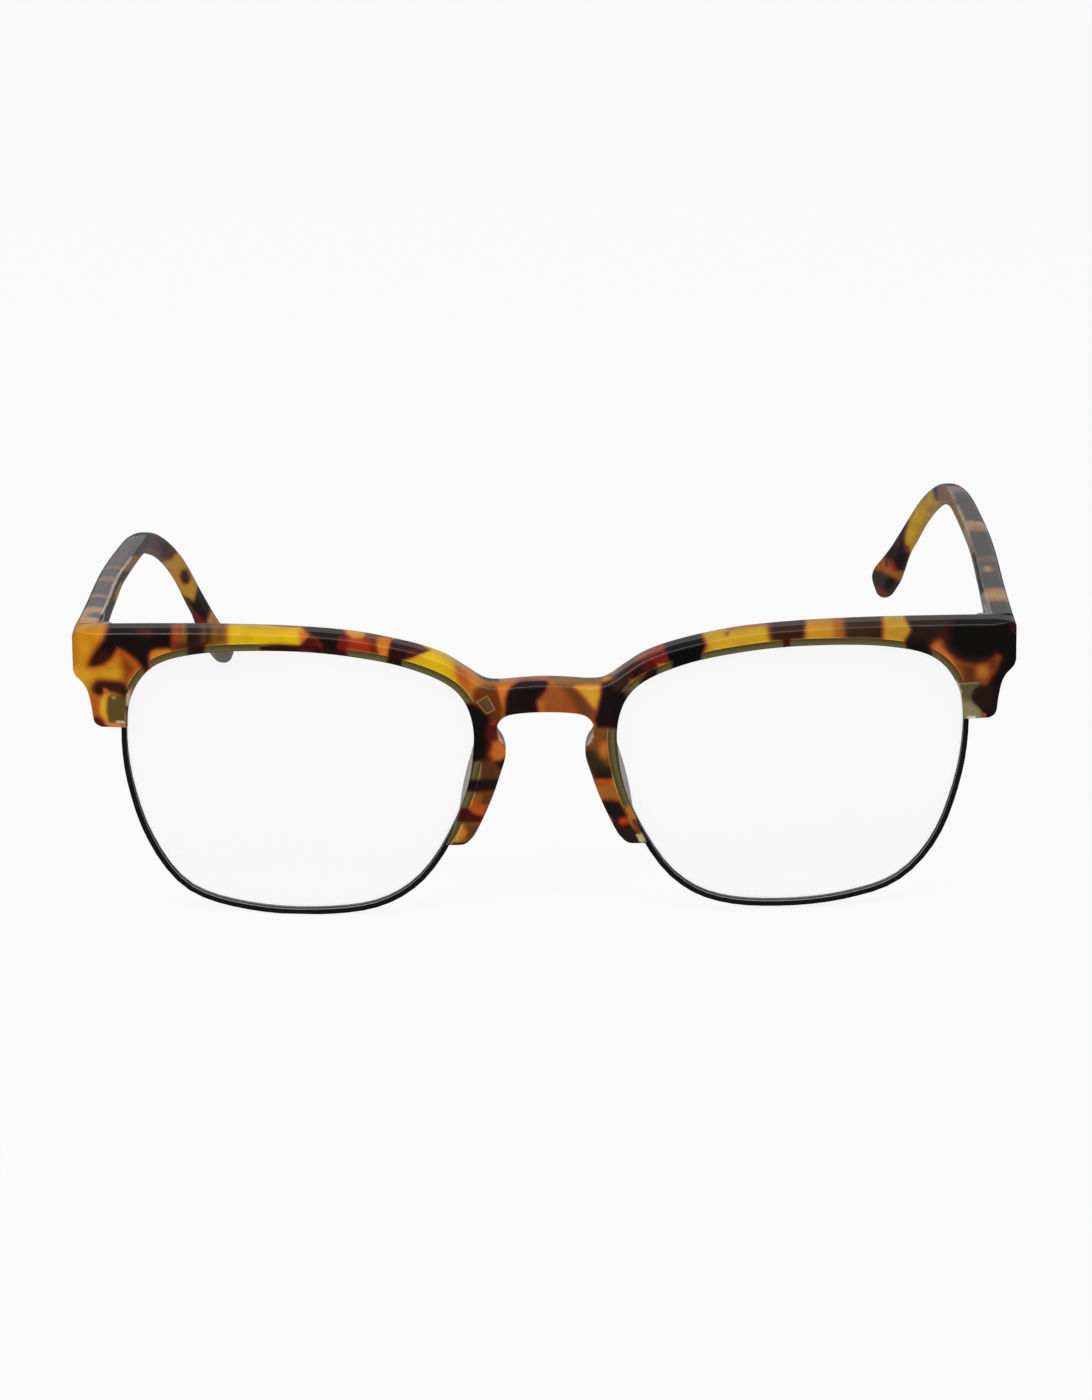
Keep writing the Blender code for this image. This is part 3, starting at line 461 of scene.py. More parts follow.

# Pattern of the front, drawn over the photograph, with painted highlights and painted sheen among its patches.
# Each patch: outline in the photograph's pixels, colour, softness of its edge, and for some the colour of its
# fringe and how far that reaches
frontPatternAndPaintedLight = [
    # left endpiece
    ([(60, 600), (150, 600), (150, 740), (60, 740)], amber, 4),
    ([(66, 625), (77, 625), (78, 665), (72, 672), (66, 660)], (186, 120, 22), 4),
    ([(72, 667), (84, 669), (100, 668.5), (112, 669.5), (122, 668.5), (127, 672), (120, 679), (108, 677),
      (95, 678.5), (86, 682), (76, 679)], (220, 160, 30), 4),
    ([(80, 680), (90, 682), (94, 688), (92, 694), (84, 690)], (204, 146, 30), 2.5),
    ([(117, 650), (122, 650), (130, 658), (138, 668), (134, 676), (129, 683), (126, 690), (121.5, 683),
      (122, 672), (119, 660)], (146, 56, 12), 5.5),
    (roundSpot((111.5, 664.5), (5.6, 3.8)), (204, 144, 30), 1.2, (158, 98, 18), 0.9),
    ([(88.5, 666), (96, 666), (103, 664.5), (108, 660.5), (112, 657), (115.5, 652), (118, 648.5), (124, 651.5),
      (130, 656), (136, 661), (141, 668), (144, 674), (149, 669), (149, 662), (150.5, 656), (154, 652),
      (160, 650), (172, 650), (172, 615), (108, 615), (107, 630), (104, 638), (99, 645), (95, 651), (92, 657),
      (89.5, 662)], nearBlack, 2.4, (178, 66, 14), 3.6),
    ([(92, 661), (98, 653), (106, 650), (110, 655), (102, 663), (94, 665)], (54, 17, 12), 3),
    ([(135, 626), (152, 626), (152, 636), (138, 636)], (66, 24, 18), 3),
    ([(92, 690), (93, 684), (97, 680.5), (104, 679.8), (112, 680.5), (120, 681.5), (126, 684), (129, 689),
      (128, 695), (124, 698), (118, 694), (108, 690.5), (104, 693), (102, 697), (98, 697.5), (94, 694)],
     (72, 24, 14), 2.4, (172, 86, 20), 2.4),
    ([(96, 688), (103, 686), (112, 686), (126, 688), (126, 694), (110, 690), (100, 694)], (48, 19, 14), 2.5),
    # left lug
    ([(90, 694), (102, 697), (103, 706), (100, 716), (90, 716)], (186, 94, 27), 2.5),
    ([(101.5, 701), (104.5, 693), (108, 692), (108, 722), (104.5, 719), (100.6, 713), (100, 707)],
     (222, 172, 46), 1.6),
    ([(103, 688.5), (107.5, 688.5), (107, 695), (104.5, 695)], (196, 92, 56), 0.9),
    ([(91, 718), (96, 716), (101, 717.5), (104, 721.5), (109, 725), (112, 730), (94, 730), (91, 724)],
     (96, 26, 12), 1.8, (182, 82, 26), 1.8),
    ([(106, 721.5), (110, 723.4), (126, 723.6), (128, 727), (112, 727.4), (105, 724)], (226, 142, 98), 0.9),
    # left brow
    ([(150, 656.5), (152, 652.5), (157, 649.8), (165, 650), (171, 650.5), (163, 654.5), (156, 658), (151, 662)],
     (222, 138, 34), 1.6, (150, 40, 14), 1.8),
    ([(172, 615), (180, 615), (181, 640), (184, 650), (174, 650), (172.5, 640)],
     (168, 74, 32), 2.4, (90, 32, 18), 2),
    ([(172, 642), (184, 642), (186, 654), (173, 654)], (112, 42, 18), 3),
    ([(183, 614), (203, 614), (205, 662), (184, 662)], (36, 20, 14), 4),
    ([(200, 614), (216, 614), (216, 646), (200, 650)], (64, 40, 18), 6),
    ([(213, 614), (228.5, 614), (228.5, 646), (213, 646)], (124, 78, 26), 5),
    ([(186, 645), (206, 643), (206, 656), (186, 656)], (50, 22, 16), 2.5),
    ([(229, 605), (300, 608), (306, 630), (310, 634), (309, 637), (305, 641), (300, 645), (298, 652),
      (229, 652)], yellow, 2.2, (206, 122, 28), 2),
    ([(298, 632), (306, 630), (312, 634.5), (307, 640), (300, 645)], (222, 112, 26), 2.4),
    ([(262, 618), (306, 620), (308, 627.8), (285, 626.8), (265, 625)], (146, 88, 42), 1.2),
    ([(300, 645), (304, 640.5), (308, 636.5), (312, 635.4), (316, 637.5), (319.5, 641), (322, 646), (324, 656),
      (298, 656)], (86, 18, 11), 1.4, (190, 90, 24), 0.8),
    ([(334, 615), (400, 620), (398, 662), (332, 662)], (166, 48, 10), 3),
    ([(303, 627.5), (312, 618), (340, 618), (343.5, 632), (347, 636), (341, 639), (338.5, 645), (338, 656),
      (323, 656), (321, 644), (317, 638), (311, 634.5), (306, 631)], (26, 8, 8), 1.8, (124, 28, 10), 2.2),
    ([(339, 637), (346, 635), (349, 642), (346, 652), (338, 652)], (122, 22, 9), 2.5),
    (roundSpot((358, 641), (6, 3), 10), (190, 66, 12), 2.5),
    ([(342, 624), (362, 626), (366, 633), (362, 638), (354, 638), (348, 634.5)],
     (228, 158, 54), 1.8, (202, 102, 24), 1),
    ([(362, 626), (396, 631), (397, 637.5), (385, 637.5), (378, 640), (372, 641), (366, 637)],
     (112, 66, 34), 1.8),
    ([(369, 638), (379, 639), (379, 656), (370, 654)], (118, 42, 13), 2),
    ([(378, 638), (386, 636), (393, 640), (391, 648), (389, 657), (380, 655), (377, 645)], (216, 122, 24), 2),
    ([(257, 645), (280, 643.6), (300, 645), (322, 648.5), (346, 651.5), (350, 655), (350, 664), (257, 658)],
     (52, 20, 13), 1.6),
    ([(300, 648), (314, 650), (314, 656), (300, 654)], (108, 24, 10), 1.6),
    ([(394, 625), (430, 634), (452, 646), (462, 660), (458, 692), (386, 672), (391, 648), (392, 640)], yellow, 2),
    ([(391.5, 640.5), (397, 639.3), (405, 640), (414, 642), (422, 645.5), (429.5, 650), (423, 653), (415, 656),
      (409.5, 658.5), (404.5, 660), (404, 672), (385, 668), (388, 655.5), (389.5, 648)],
     (44, 10, 8), 1.2, (172, 52, 14), 1.4),
    ([(408, 650), (420, 647.5), (426, 650), (415, 655), (408, 657)], (92, 18, 8), 2),
    # bridge, left half
    ([(456, 655), (470, 663), (482, 674), (492, 684), (480, 692), (470, 702), (458, 690), (454, 672)],
     (202, 124, 34), 4),
    ([(457, 666), (463, 671), (471, 683), (467, 692), (458, 678)], (186, 90, 20), 2.6),
    # Top face: the acetate's colour greyed by a painted sheen
    ([(474, 662), (486, 672), (500, 674), (500, 682.5), (488, 682.5), (478, 677)], (84, 62, 54), 2),
    ([(498, 670), (560, 668), (560, 681), (500, 683)], (184, 124, 66), 2),
    ([(472, 690), (482, 685), (494, 684), (500, 688), (502, 700), (504, 712), (500, 726), (490, 722), (476, 706),
      (472, 698)], (112, 54, 18), 3),
    ([(497, 686), (502, 684), (514, 683), (508, 689), (505.5, 696), (504.5, 707), (502, 704), (499, 694)],
     (216, 124, 40), 1.6, (150, 64, 24), 1.4),
    ([(536, 682), (612, 682), (606, 722), (534, 724)], (160, 82, 30), 2.5),
    ([(538, 699), (545, 703), (545, 716), (539, 716)], (200, 112, 42), 2.2),
    ([(558, 684), (574, 686), (582, 694), (590, 704), (595, 712), (592, 722), (580, 716), (574, 705),
      (566, 694)], (114, 62, 26), 3.5),
    ([(574.5, 686.5), (585, 685), (600.5, 685), (600, 694), (598.5, 703), (596.5, 709.5), (593, 706), (588, 699),
      (582, 693)], (222, 162, 42), 1.6, (202, 112, 34), 1.6),
    ([(546, 670), (602, 670), (604, 683), (560, 683.5), (547, 681)], (140, 98, 52), 1.6),
    ([(514, 684.5), (520, 681), (530, 679.8), (545, 680.3), (547.6, 683), (545.5, 690), (541, 696), (536.5, 701),
      (537.5, 707), (538.8, 714), (539, 722), (504, 722), (505.5, 710), (506, 698), (508.5, 690)],
     (32, 11, 12), 1.4, (140, 34, 18), 1.8),
    ([(516, 690), (536, 688), (531, 700), (531, 714), (512, 714)], (20, 10, 10), 4),
    # left nose arm
    ([(464, 722), (500, 716), (512, 752), (500, 790), (470, 850), (436, 850), (460, 800)], (100, 58, 24), 3),
    ([(483, 722), (499, 724), (498, 732), (495, 742), (490, 752), (486, 760), (481, 760)], (88, 17, 12), 2.5),
    ([(460, 700), (474, 704), (482, 708), (488, 716), (490, 722), (487, 732), (488, 742), (487, 752), (486, 758),
      (482, 763), (466, 762), (464, 740)], (18, 10, 9), 3, (92, 20, 12), 3.6),
    # Painted highlight: a small red glint
    (roundSpot((493.5, 724), (3.6, 1.3), -12), (168, 42, 22), 1.2),
    ([(493, 743), (500, 741), (507, 745), (508, 757), (502, 760.5), (494, 760.5), (490.5, 755)],
     (198, 108, 34), 2.2, (140, 44, 16), 1.6),
    ([(493, 761), (500, 761), (506, 757), (506, 769), (499, 771), (496, 765)], (44, 14, 16), 1.5),
    ([(480, 764), (494, 765), (498, 770), (496, 779), (479, 780)], (94, 52, 24), 3),
    # Painted highlight: a thin glint line along the arm
    ([(478.6, 762), (480.6, 762.5), (479, 779), (476.6, 779)], (208, 150, 68), 0.8),
    ([(462, 780), (502, 779), (498, 793), (460, 792)], (28, 15, 12), 2.2),
    ([(458, 793), (496, 793), (490, 808), (452, 808)], (162, 88, 28), 2),
    ([(482, 792), (496, 792), (490, 806), (480, 806)], (98, 58, 24), 3),
    # Painted highlight: a thin glint line along the arm
    ([(471.6, 793), (474, 793), (470.4, 806), (467.6, 806)], (208, 152, 70), 0.9),
    ([(464, 806), (474, 803), (486, 806), (484, 816), (474, 815), (468, 809)], (194, 84, 20), 1.8),
    ([(454, 808), (467, 807), (472, 812), (480, 815.5), (486, 815), (482, 823), (450, 822)], (76, 17, 10), 1.7),
    ([(446, 823), (482, 823.5), (474, 850), (438, 850)], (162, 102, 36), 1.8),
    ([(466, 824), (482, 824), (476, 846), (464, 846)], (108, 66, 28), 3),
    (roundSpot((463, 834), (2.8, 5.2), 20), (224, 130, 32), 2),
    ([(450, 825), (459, 824), (452, 840), (444, 842)], (146, 120, 62), 1.4),
    # Painted highlight: a thin glint line along the arm, then a pale glint spot
    ([(461, 825), (463.4, 825), (457.6, 841), (454.6, 841)], (218, 172, 84), 0.9),
    (roundSpot((450.5, 840), (2.6, 1.8)), (232, 204, 166), 1),
    ([(452, 842.4), (468, 842), (474, 838), (476, 842), (470, 847), (452, 847)], (74, 26, 12), 1),
    # The nose pad's edge, pale from a painted glancing reflection
    ([(497, 728), (500.5, 732), (504, 739), (506.5, 749), (503.4, 744.5), (500, 741.5), (498.2, 736)],
     (206, 176, 160), 0.7, (90, 40, 24), 0.6),
    # bridge right junction and right nose arm
    ([(602, 684), (612, 680), (622, 668), (632, 656), (640, 652), (640, 672), (630, 680), (626, 690), (632, 696),
      (622, 712), (619, 728.5), (596.5, 728.5), (594, 721), (597, 712), (599.5, 703), (601.5, 694)],
     (24, 12, 12), 1.6, (152, 46, 18), 2.2),
    ([(612, 682), (622, 676), (630, 674), (632, 683), (624, 690), (614, 690)], (58, 37, 25), 3),
    # Top face: the acetate's colour greyed by a painted sheen
    ([(606, 676), (616, 672), (626, 660), (634, 655), (636, 662), (624, 670), (614, 679)], (78, 58, 54), 2),
    ([(624, 690), (630, 683), (637, 688), (631, 698), (626, 698)], (98, 68, 38), 2),
    ([(630, 680), (635, 680), (634, 685), (631, 686)], (178, 86, 46), 1.2),
    ([(590, 729), (620, 729), (614, 770), (600, 790), (584, 760), (584, 744)],
     (126, 76, 29), 2.2, (84, 34, 18), 1.6),
    (roundSpot((604, 750), (4.6, 7.5)), (198, 112, 34), 3),
    ([(584, 748), (595, 750), (600, 758), (606, 765), (611, 767), (613, 779), (596, 781), (584, 764)],
     (58, 43, 23), 3),
    ([(594, 770), (612, 768), (613, 779), (596, 779)], (42, 28, 17), 2.5),
    # The nose pad's edge, pale from a painted glancing reflection
    ([(593.4, 726), (588, 731), (584.4, 739), (583, 748), (586, 746.6), (590, 743), (593, 738), (594, 732)],
     (200, 172, 156), 0.7, (90, 44, 26), 0.6),
    # Painted highlight: a thin glint line beside the rim band
    ([(608.4, 731), (611, 731), (612, 748), (609.6, 747)], (204, 160, 62), 1),
    ([(594, 780), (613, 779), (615, 783.4), (596, 784)], (202, 76, 30), 1),
    ([(594, 784), (615, 783), (622, 801), (602, 803)], (168, 98, 32), 1.8),
    ([(600, 801), (612, 800), (620, 802), (625, 811), (627, 818), (616, 824), (604, 812)],
     (30, 14, 14), 2.2, (134, 56, 20), 2),
    ([(612, 820), (630, 822), (640, 834), (648, 846), (620, 850), (610, 832)], (42, 23, 17), 2.4),
    (roundSpot((623.3, 821.5), (3.6, 3.4)), (198, 54, 24), 1.8, (90, 24, 14), 1.6),
    # Painted highlight: thin glint lines along the arm
    ([(613, 774), (616, 774), (620.5, 786), (625, 798), (622.6, 800), (617.5, 789)], (208, 152, 54), 1.1),
    ([(622.4, 803), (626, 803), (630, 811), (634.4, 819), (631, 821), (627, 813)], (212, 142, 50), 1.1),
    ([(631, 820), (636, 819), (644, 832), (639, 834)], (122, 58, 34), 1.2),
    # Painted highlight: a pale glint
    ([(636.5, 834.5), (644.5, 833.5), (648, 840), (641, 843)], (226, 218, 174), 1.1),
    # right brow
    ([(626, 670), (640, 656), (654, 648), (668, 642), (670, 660), (666, 672), (652, 680), (640, 686),
      (634, 680)], (84, 17, 12), 2.6),
    # Top face: the acetate's colour turned pinkish-grey by a painted sheen
    ([(634, 652), (660, 640), (668, 640), (666, 649.5), (650, 655), (636, 661.5)], (152, 76, 52), 1.8),
    ([(628, 670), (642, 662), (644, 671), (634, 679)], (44, 12, 10), 2.4),
    ([(650, 658), (662, 656), (668, 660), (664, 667), (656, 664)], (134, 30, 12), 2.4),
    ([(638, 678), (650, 669), (662, 668.5), (666, 674), (650, 684), (640, 690)], (30, 12, 10), 1.8),
    # Painted highlight: a small orange glint
    ([(657, 664.5), (663, 662.8), (668.5, 663.5), (664, 666.6), (658.6, 667)], (218, 98, 42), 1),
    ([(698, 622), (768, 612), (769, 630), (770, 644), (770, 664), (702, 668), (704, 655), (707, 646),
      (703, 638)], (216, 170, 34), 1.8, (206, 102, 26), 1.2),
    ([(664, 640), (676, 632), (699, 628), (703.5, 640), (706, 645), (704.6, 650), (703.4, 655), (701, 674),
      (672, 682), (670, 668), (668, 660), (665, 652)], (5, 3, 4), 1.9, (140, 30, 10), 2.8),
    (roundSpot((727, 633.6), (2.4, 2.8)), (176, 90, 26), 1.5),
    ([(722, 622), (752, 616), (768, 615), (767, 625), (740, 629), (728, 631.4)], (200, 118, 54), 1.2),
    (roundSpot((741, 644.6), (5, 1.2), -8), (208, 140, 22), 1.4),
    ([(768, 610), (806, 606), (806.5, 628), (805, 636), (803, 640.5), (791, 641.5), (791, 660), (782, 660),
      (781.5, 642), (772, 641), (770, 634), (769.5, 628)], (56, 27, 12), 3, (156, 66, 16), 3.2),
    ([(806, 602), (844, 600), (843, 655), (806, 655)], (210, 148, 34), 2, (150, 68, 18), 1),
    ([(832, 604), (846, 602), (845, 655), (834, 655)], (178, 106, 34), 3.5),
    ([(844.5, 600), (884, 600), (883.5, 655), (845, 655)], (58, 37, 20), 3.2, (146, 80, 26), 2.4),
    ([(883.5, 600), (903, 600), (905, 618), (909, 624), (911, 629), (909, 634), (905, 638), (904, 655),
      (884, 655), (885, 630)], (208, 162, 44), 1.6, (204, 82, 22), 2.2),
    # right endpiece
    ([(903.5, 600), (1024, 600), (1024, 740), (940, 740), (936, 690), (904, 662), (905, 642), (911.5, 630),
      (905.5, 618)], (44, 27, 20), 1.6, (124, 36, 16), 1.5),
    ([(910, 638), (924, 638), (932, 650), (920, 658), (906, 652)], (24, 14, 12), 4),
    ([(938, 630), (948, 626), (956, 634), (952, 646), (944, 642)], (58, 20, 14), 3),
    ([(956, 612), (1024, 610), (1024, 740), (984, 740), (986, 690), (992, 676), (1000, 660), (994, 655),
      (976, 660), (962, 657), (950, 645), (948, 634)], (10, 8, 7), 4),
    ([(1009, 620), (1020, 618), (1020, 634), (1011, 633)], (54, 14, 16), 2),
    ([(931, 646), (935, 641), (940, 639.5), (943, 642), (945, 648), (950, 654), (956, 659), (964, 662.5),
      (974, 665), (984, 664), (992, 661), (997, 655), (1000, 657), (997, 666), (992, 675), (986, 684),
      (972, 684), (960, 684), (950, 670), (940, 660), (932, 651)], (150, 74, 22), 2, (86, 25, 14), 2.4),
    ([(932, 647), (938, 643), (942, 648), (949, 655), (956, 664), (950, 664), (940, 655)], (198, 108, 38), 1.6),
    ([(962, 665), (974, 667), (974, 684), (964, 684)], (104, 50, 18), 3),
    (roundSpot((982, 672), (5.2, 5.6)), (188, 118, 30), 3),
    ([(990, 660), (998, 658), (996, 668), (990, 672)], (112, 44, 18), 2.5),
    ([(971, 698), (980, 689), (992, 686), (996, 700), (994, 712), (984, 714)], (36, 17, 16), 3),
    (roundSpot((983.6, 715), (1.6, 2)), (216, 102, 72), 0.8)]

# Rim blocks that show through the lugs, with painted highlights: bright bars at their foot and pale glint strips
# beside them
lugBlocksAndGlints = [
    ([(107, 698), (112, 693.5), (127, 698.5), (127, 712), (126, 722), (117, 721.6), (112, 722.8), (108.4, 721.6),
      (106.6, 712)], (94, 77, 34), 1.2),
    (roundSpot((113.6, 697.4), (1.7, 1.9)), (172, 152, 94), 1),
    # Painted highlight: a bright bar at the block's foot
    ([(117, 721.4), (125, 721), (125, 723.8), (118, 723.8)], (226, 208, 152), 0.7),
    # Painted highlight: a pale glint strip beside the block
    ([(126.2, 694), (130, 688), (131.5, 690), (129, 706), (128, 724), (126, 724)], (196, 168, 138), 0.9),
    ([(126.6, 706), (128, 706), (127.6, 726), (126.2, 726)], (40, 22, 18), 0.6),
    ([(956, 683), (964, 681.8), (981, 681), (979, 686), (974, 690), (971.6, 697), (973, 702), (979.5, 708),
      (983, 713), (982, 720), (955, 720)], (96, 84, 48), 1.2),
    ([(958, 682.4), (980, 681.2), (979, 683.6), (958, 684.8)], (132, 118, 82), 0.8),
    ([(961, 700), (971, 702), (980, 710), (982, 720), (962, 720)], (142, 132, 92), 3),
    # Painted highlight: a bright bar at the block's foot
    ([(967, 715.8), (976, 715.6), (975, 719), (967, 719)], (228, 224, 184), 0.8),
    # Painted highlight: a pale glint strip beside the block
    ([(954, 680), (957.6, 680), (961.4, 692), (962.4, 713), (959.4, 713), (958.4, 698)], (196, 184, 146), 0.9)]

# Where the acetate over the rim is too dark for the rim to show
hiddenRim = [
    ([(140, 660), (150, 656), (151, 670), (144, 680)], 1.5),
    ([(187, 640), (206, 640), (206, 660), (187, 660)], 2),
    ([(259, 640), (347, 640), (348, 664), (259, 660)], 3),
    ([(388, 650), (403, 654), (402, 674), (386, 670)], 1.2),
    ([(462, 703), (492, 703), (490, 760), (462, 763)], 1.6),
    ([(455, 780), (480, 779), (476, 792), (455, 792)], 1.6),
    ([(446, 807), (474, 807), (474, 822), (446, 822)], 1.4),
    ([(600, 690), (634, 692), (625, 729), (600, 729)], 1.4),
    ([(636, 686), (650, 668), (658, 667), (656, 684), (640, 694)], 1.6),
    ([(671, 650), (703, 646), (702, 670), (672, 680)], 1.6),
    ([(782, 638), (791, 638), (791, 656), (782, 656)], 1),
    ([(904, 636), (932, 644), (934, 664), (906, 660)], 2),
    ([(90, 690), (140, 688), (140, 740), (90, 740)], 1),
    ([(950, 681), (1000, 681), (1000, 740), (950, 740)], 1),
    ([(612, 808), (660, 804), (660, 850), (620, 850)], 2)]

# Tab of the rim, seen through the left of the bridge
tabOutline = [(476.4, 702.2), (487.2, 695.6), (495, 709.4), (486.4, 714.2)]

front = {"rise": 0.0027, "end": 0.0075, "chamfer": 0.0007, "soft": 0.00022, "edge": 0.00015, "turnSteps": 3,
         "spacing": 0.00045, "grid": 0.00031, "deepGrid": 1.5, "openingIn": 0.0004, "armFrom": 0.0178,
         "armTo": 0.0085, "armBack": 0.0007, "armFuller": 0.0003, "armMiddle": 0.0262, "armSpread": 0.005,
         "armWithin": 0.03, "seatOut": 0.0007, "seatFrom": 0.00145, "flare": 0.00012, "lastTop": 12,
         "cutPast": 0.001, "weld": 1e-6, "flat": math.radians(0.05), "sharp": math.radians(38),
         "drift": ((0.0035, 0.8, 3.1), (0.0011, 0.45, 8.4)), "clearTo": 0.0012, "away": 9.0, "within": -2.0,
         "topFrom": 0.80, "topOver": 0.15}
# Pockets behind, by how far out, how deep and how high they begin and end
front["blockPocket"] = {"out": (0.06295, 0.06515), "from": 0.0013, "up": (0.0270, 0.033424)}
front["leafPocket"] = {"out": (0.06205, 0.06645), "from": 0.0028, "up": (0.037156, 0.042356)}
front["tabPocket"] = {"round": 0.806, "out": 0.0018, "depth": 0.0025,
                      "low": (-0.0018, -0.0008, -0.0013), "high": (0.00125, 0.0025, 0.0013)}
# Outline of the right half from the middle of the bridge's top edge: zone, shares along and up
# what that zone follows, and whether the outline turns there
front["outline"] = [
    ("bridge", 0.00, 0.8775, False), ("bridge", 0.33, 0.8740, False), ("bridge", 0.66, 0.8680, False),
    ("bridge", 0.90, 0.8760, False), ("bridge", 1.19, 0.9220, False), ("brow", 0.099, -0.44, False),
    ("brow", 0.200, 0.18, False), ("brow", 0.353, 0.73, False), ("brow", 0.534, 0.965, False),
    ("brow", 0.725, 1.00, False), ("brow", 0.916, 0.91, False), ("brow end", 0.54, 0.78, False),
    ("brow end", 0.91, 0.68, True), ("brow end", 0.98, 0.56, False), ("brow end", 1.00, 0.36, True),
    ("lug", 1.00, 0.9000, True), ("lug", 0.95, 0.8755, False), ("lug", 0.80, 0.8465, False),
    ("lug", 0.71, 0.8130, False), ("lug", 0.65, 0.7610, False), ("lug", 0.61, 0.7090, False),
    ("lug", 0.55, 0.6925, False), ("lug", 0.46, 0.6850, True), ("lens", 0.90, 0.6850, True),
    ("lens", 0.27, 0.2640, True), ("bridge", 1.38, 0.2610, True), ("bridge", 1.22, 0.2640, False),
    ("bridge", 1.12, 0.2830, False), ("bridge", 1.035, 0.3120, False), ("bridge", 0.892, 0.3850, False),
    ("bridge", 0.765, 0.4610, False), ("bridge", 0.665, 0.5350, False), ("bridge", 0.602, 0.5850, False),
    ("bridge", 0.590, 0.6150, False), ("bridge", 0.628, 0.6520, False), ("bridge", 0.705, 0.6830, False),
    ("bridge", 0.718, 0.7050, False),
    ("bridge", 0.66, 0.7340, False), ("bridge", 0.54, 0.7525, False), ("bridge", 0.30, 0.7610, False),
    ("bridge", 0.00, 0.7636, False)]


def outlineSpot(zone, alongShare, upShare):
    halfBridge, wide = lensOutline["bridge"] / 2, lensOutline["width"]
    if zone == "bridge":
        x = alongShare * halfBridge
    elif zone in ("brow", "lens"):
        x = halfBridge + alongShare * wide
    else:
        x = halfBridge + wide + alongShare * front["end"]
    if zone.startswith("brow"):
        return Vector((x, lensOutline["up"] + lensOutline["height"] + upShare * front["rise"]))
    return Vector((x, lensOutline["up"] + upShare * lensOutline["height"]))


def frontOutline():
    # Closed outline at an even spacing, and how much of the top chamfer each point has
    right = [(outlineSpot(*row[:3]), row[3], i) for i, row in enumerate(front["outline"])]
    left = [(Vector((-spot.x, spot.y)), turns, i) for spot, turns, i in reversed(right[1:-1])]
    rows = right + left
    count, loop, shares = len(rows), [], []
    for k, (spot, turns, index) in enumerate(rows):
        after, nextTurns, nextIndex = rows[(k + 1) % count]
        before, beyond = rows[k - 1][0], rows[(k + 2) % count][0]
        leaving = after - spot if turns else (after - before) / 2
        arriving = after - spot if nextTurns else (beyond - spot) / 2
        pieces = max(2, math.ceil((after - spot).length / front["spacing"]))
        for step in range(pieces):
            t = step / pieces
            loop.append(curvePlace(t, spot, leaving, after, arriving))
            row = index + (nextIndex - index) * t
            shares.append(min(max(front["lastTop"] - row, 0), 1))
    return loop, shares


def loopNormals(loop):
    # Unit normals of a clockwise loop, pointing out of it
    normals = []
    for i, spot in enumerate(loop):
        run = (Vector(loop[(i + 1) % len(loop)]) - Vector(loop[i - 1])).normalized()
        normals.append(Vector((-run.y, run.x)))
    return normals


def rounded(first, corner, last, steps):
    # Points of a small curve from first to last, pulled towards the corner
    return [Vector(first) * (1 - t) ** 2 + Vector(corner) * 2 * t * (1 - t) + Vector(last) * t * t
            for t in (k / steps for k in range(steps + 1))]


def frontProfile(share):
    # Edge profile as inset and depth, from the face round to the back; share is the chamfer's
    c, r, e, thick, steps = front["chamfer"], front["soft"], front["edge"], stand["thick"], front["turnSteps"]
    slope = r / math.sqrt(2)
    top = (rounded((c + r, 0), (c, 0), (c - slope, slope), steps)
           + rounded((slope, c - slope), (0, c), (0, c + r), steps))
    low = rounded((e, 0), (0, 0), (0, e), 2 * steps + 1)
    back = rounded((0, thick - e), (0, thick), (e, thick), steps)
    return [high * share + plain * (1 - share) for high, plain in zip(top, low)] + back


def ringedShape(*rings):
    # A closed solid through rings of places, with a face at both ends
    shape = bmesh.new()
    rows = [[shape.verts.new(place) for place in places] for places in rings]
    for before, row in zip(rows, rows[1:]):
        for k in range(len(row)):
            shape.faces.new((before[k - 1], before[k], row[k], row[k - 1]))
    for row in (rows[0], rows[-1]):
        shape.faces.new(row)
    bmesh.ops.recalc_face_normals(shape, faces=shape.faces)
    return shape


def boxShape(low, high, matrix=Matrix.Identity(4)):
    shape = bmesh.new()
    middle, size = (Vector(low) + Vector(high)) / 2, Vector(high) - Vector(low)
    matrix = matrix @ Matrix.Translation(middle) @ Matrix.Diagonal((*size, 1))
    bmesh.ops.create_cube(shape, size=1.0, matrix=matrix)
    return shape


def pocketShape(side, pocket):
    left, right = sorted(side * out for out in pocket["out"])
    low, high = pocket["up"]
    return boxShape((left, pocket["from"], low), (right, stand["thick"] + front["cutPast"], high))


def openingLoops(loop):
    # The lens opening, a little inside the lens, and the same flared at the face
    loops = [[], []]
    for (x, up), normal in zip(loop, loopNormals(loop)):
        arm = (front["armBack"] * float(smooth((front["armFrom"] - up) / front["armTo"]))
               - front["armFuller"] * math.exp(-((up - front["armMiddle"]) / front["armSpread"]) ** 2))
        back = arm * (x < front["armWithin"]) - front["openingIn"]
        for spots, more in zip(loops, (0, front["flare"])):
            spots.append(Vector((x, up)) + normal * (back + more))
    return loops


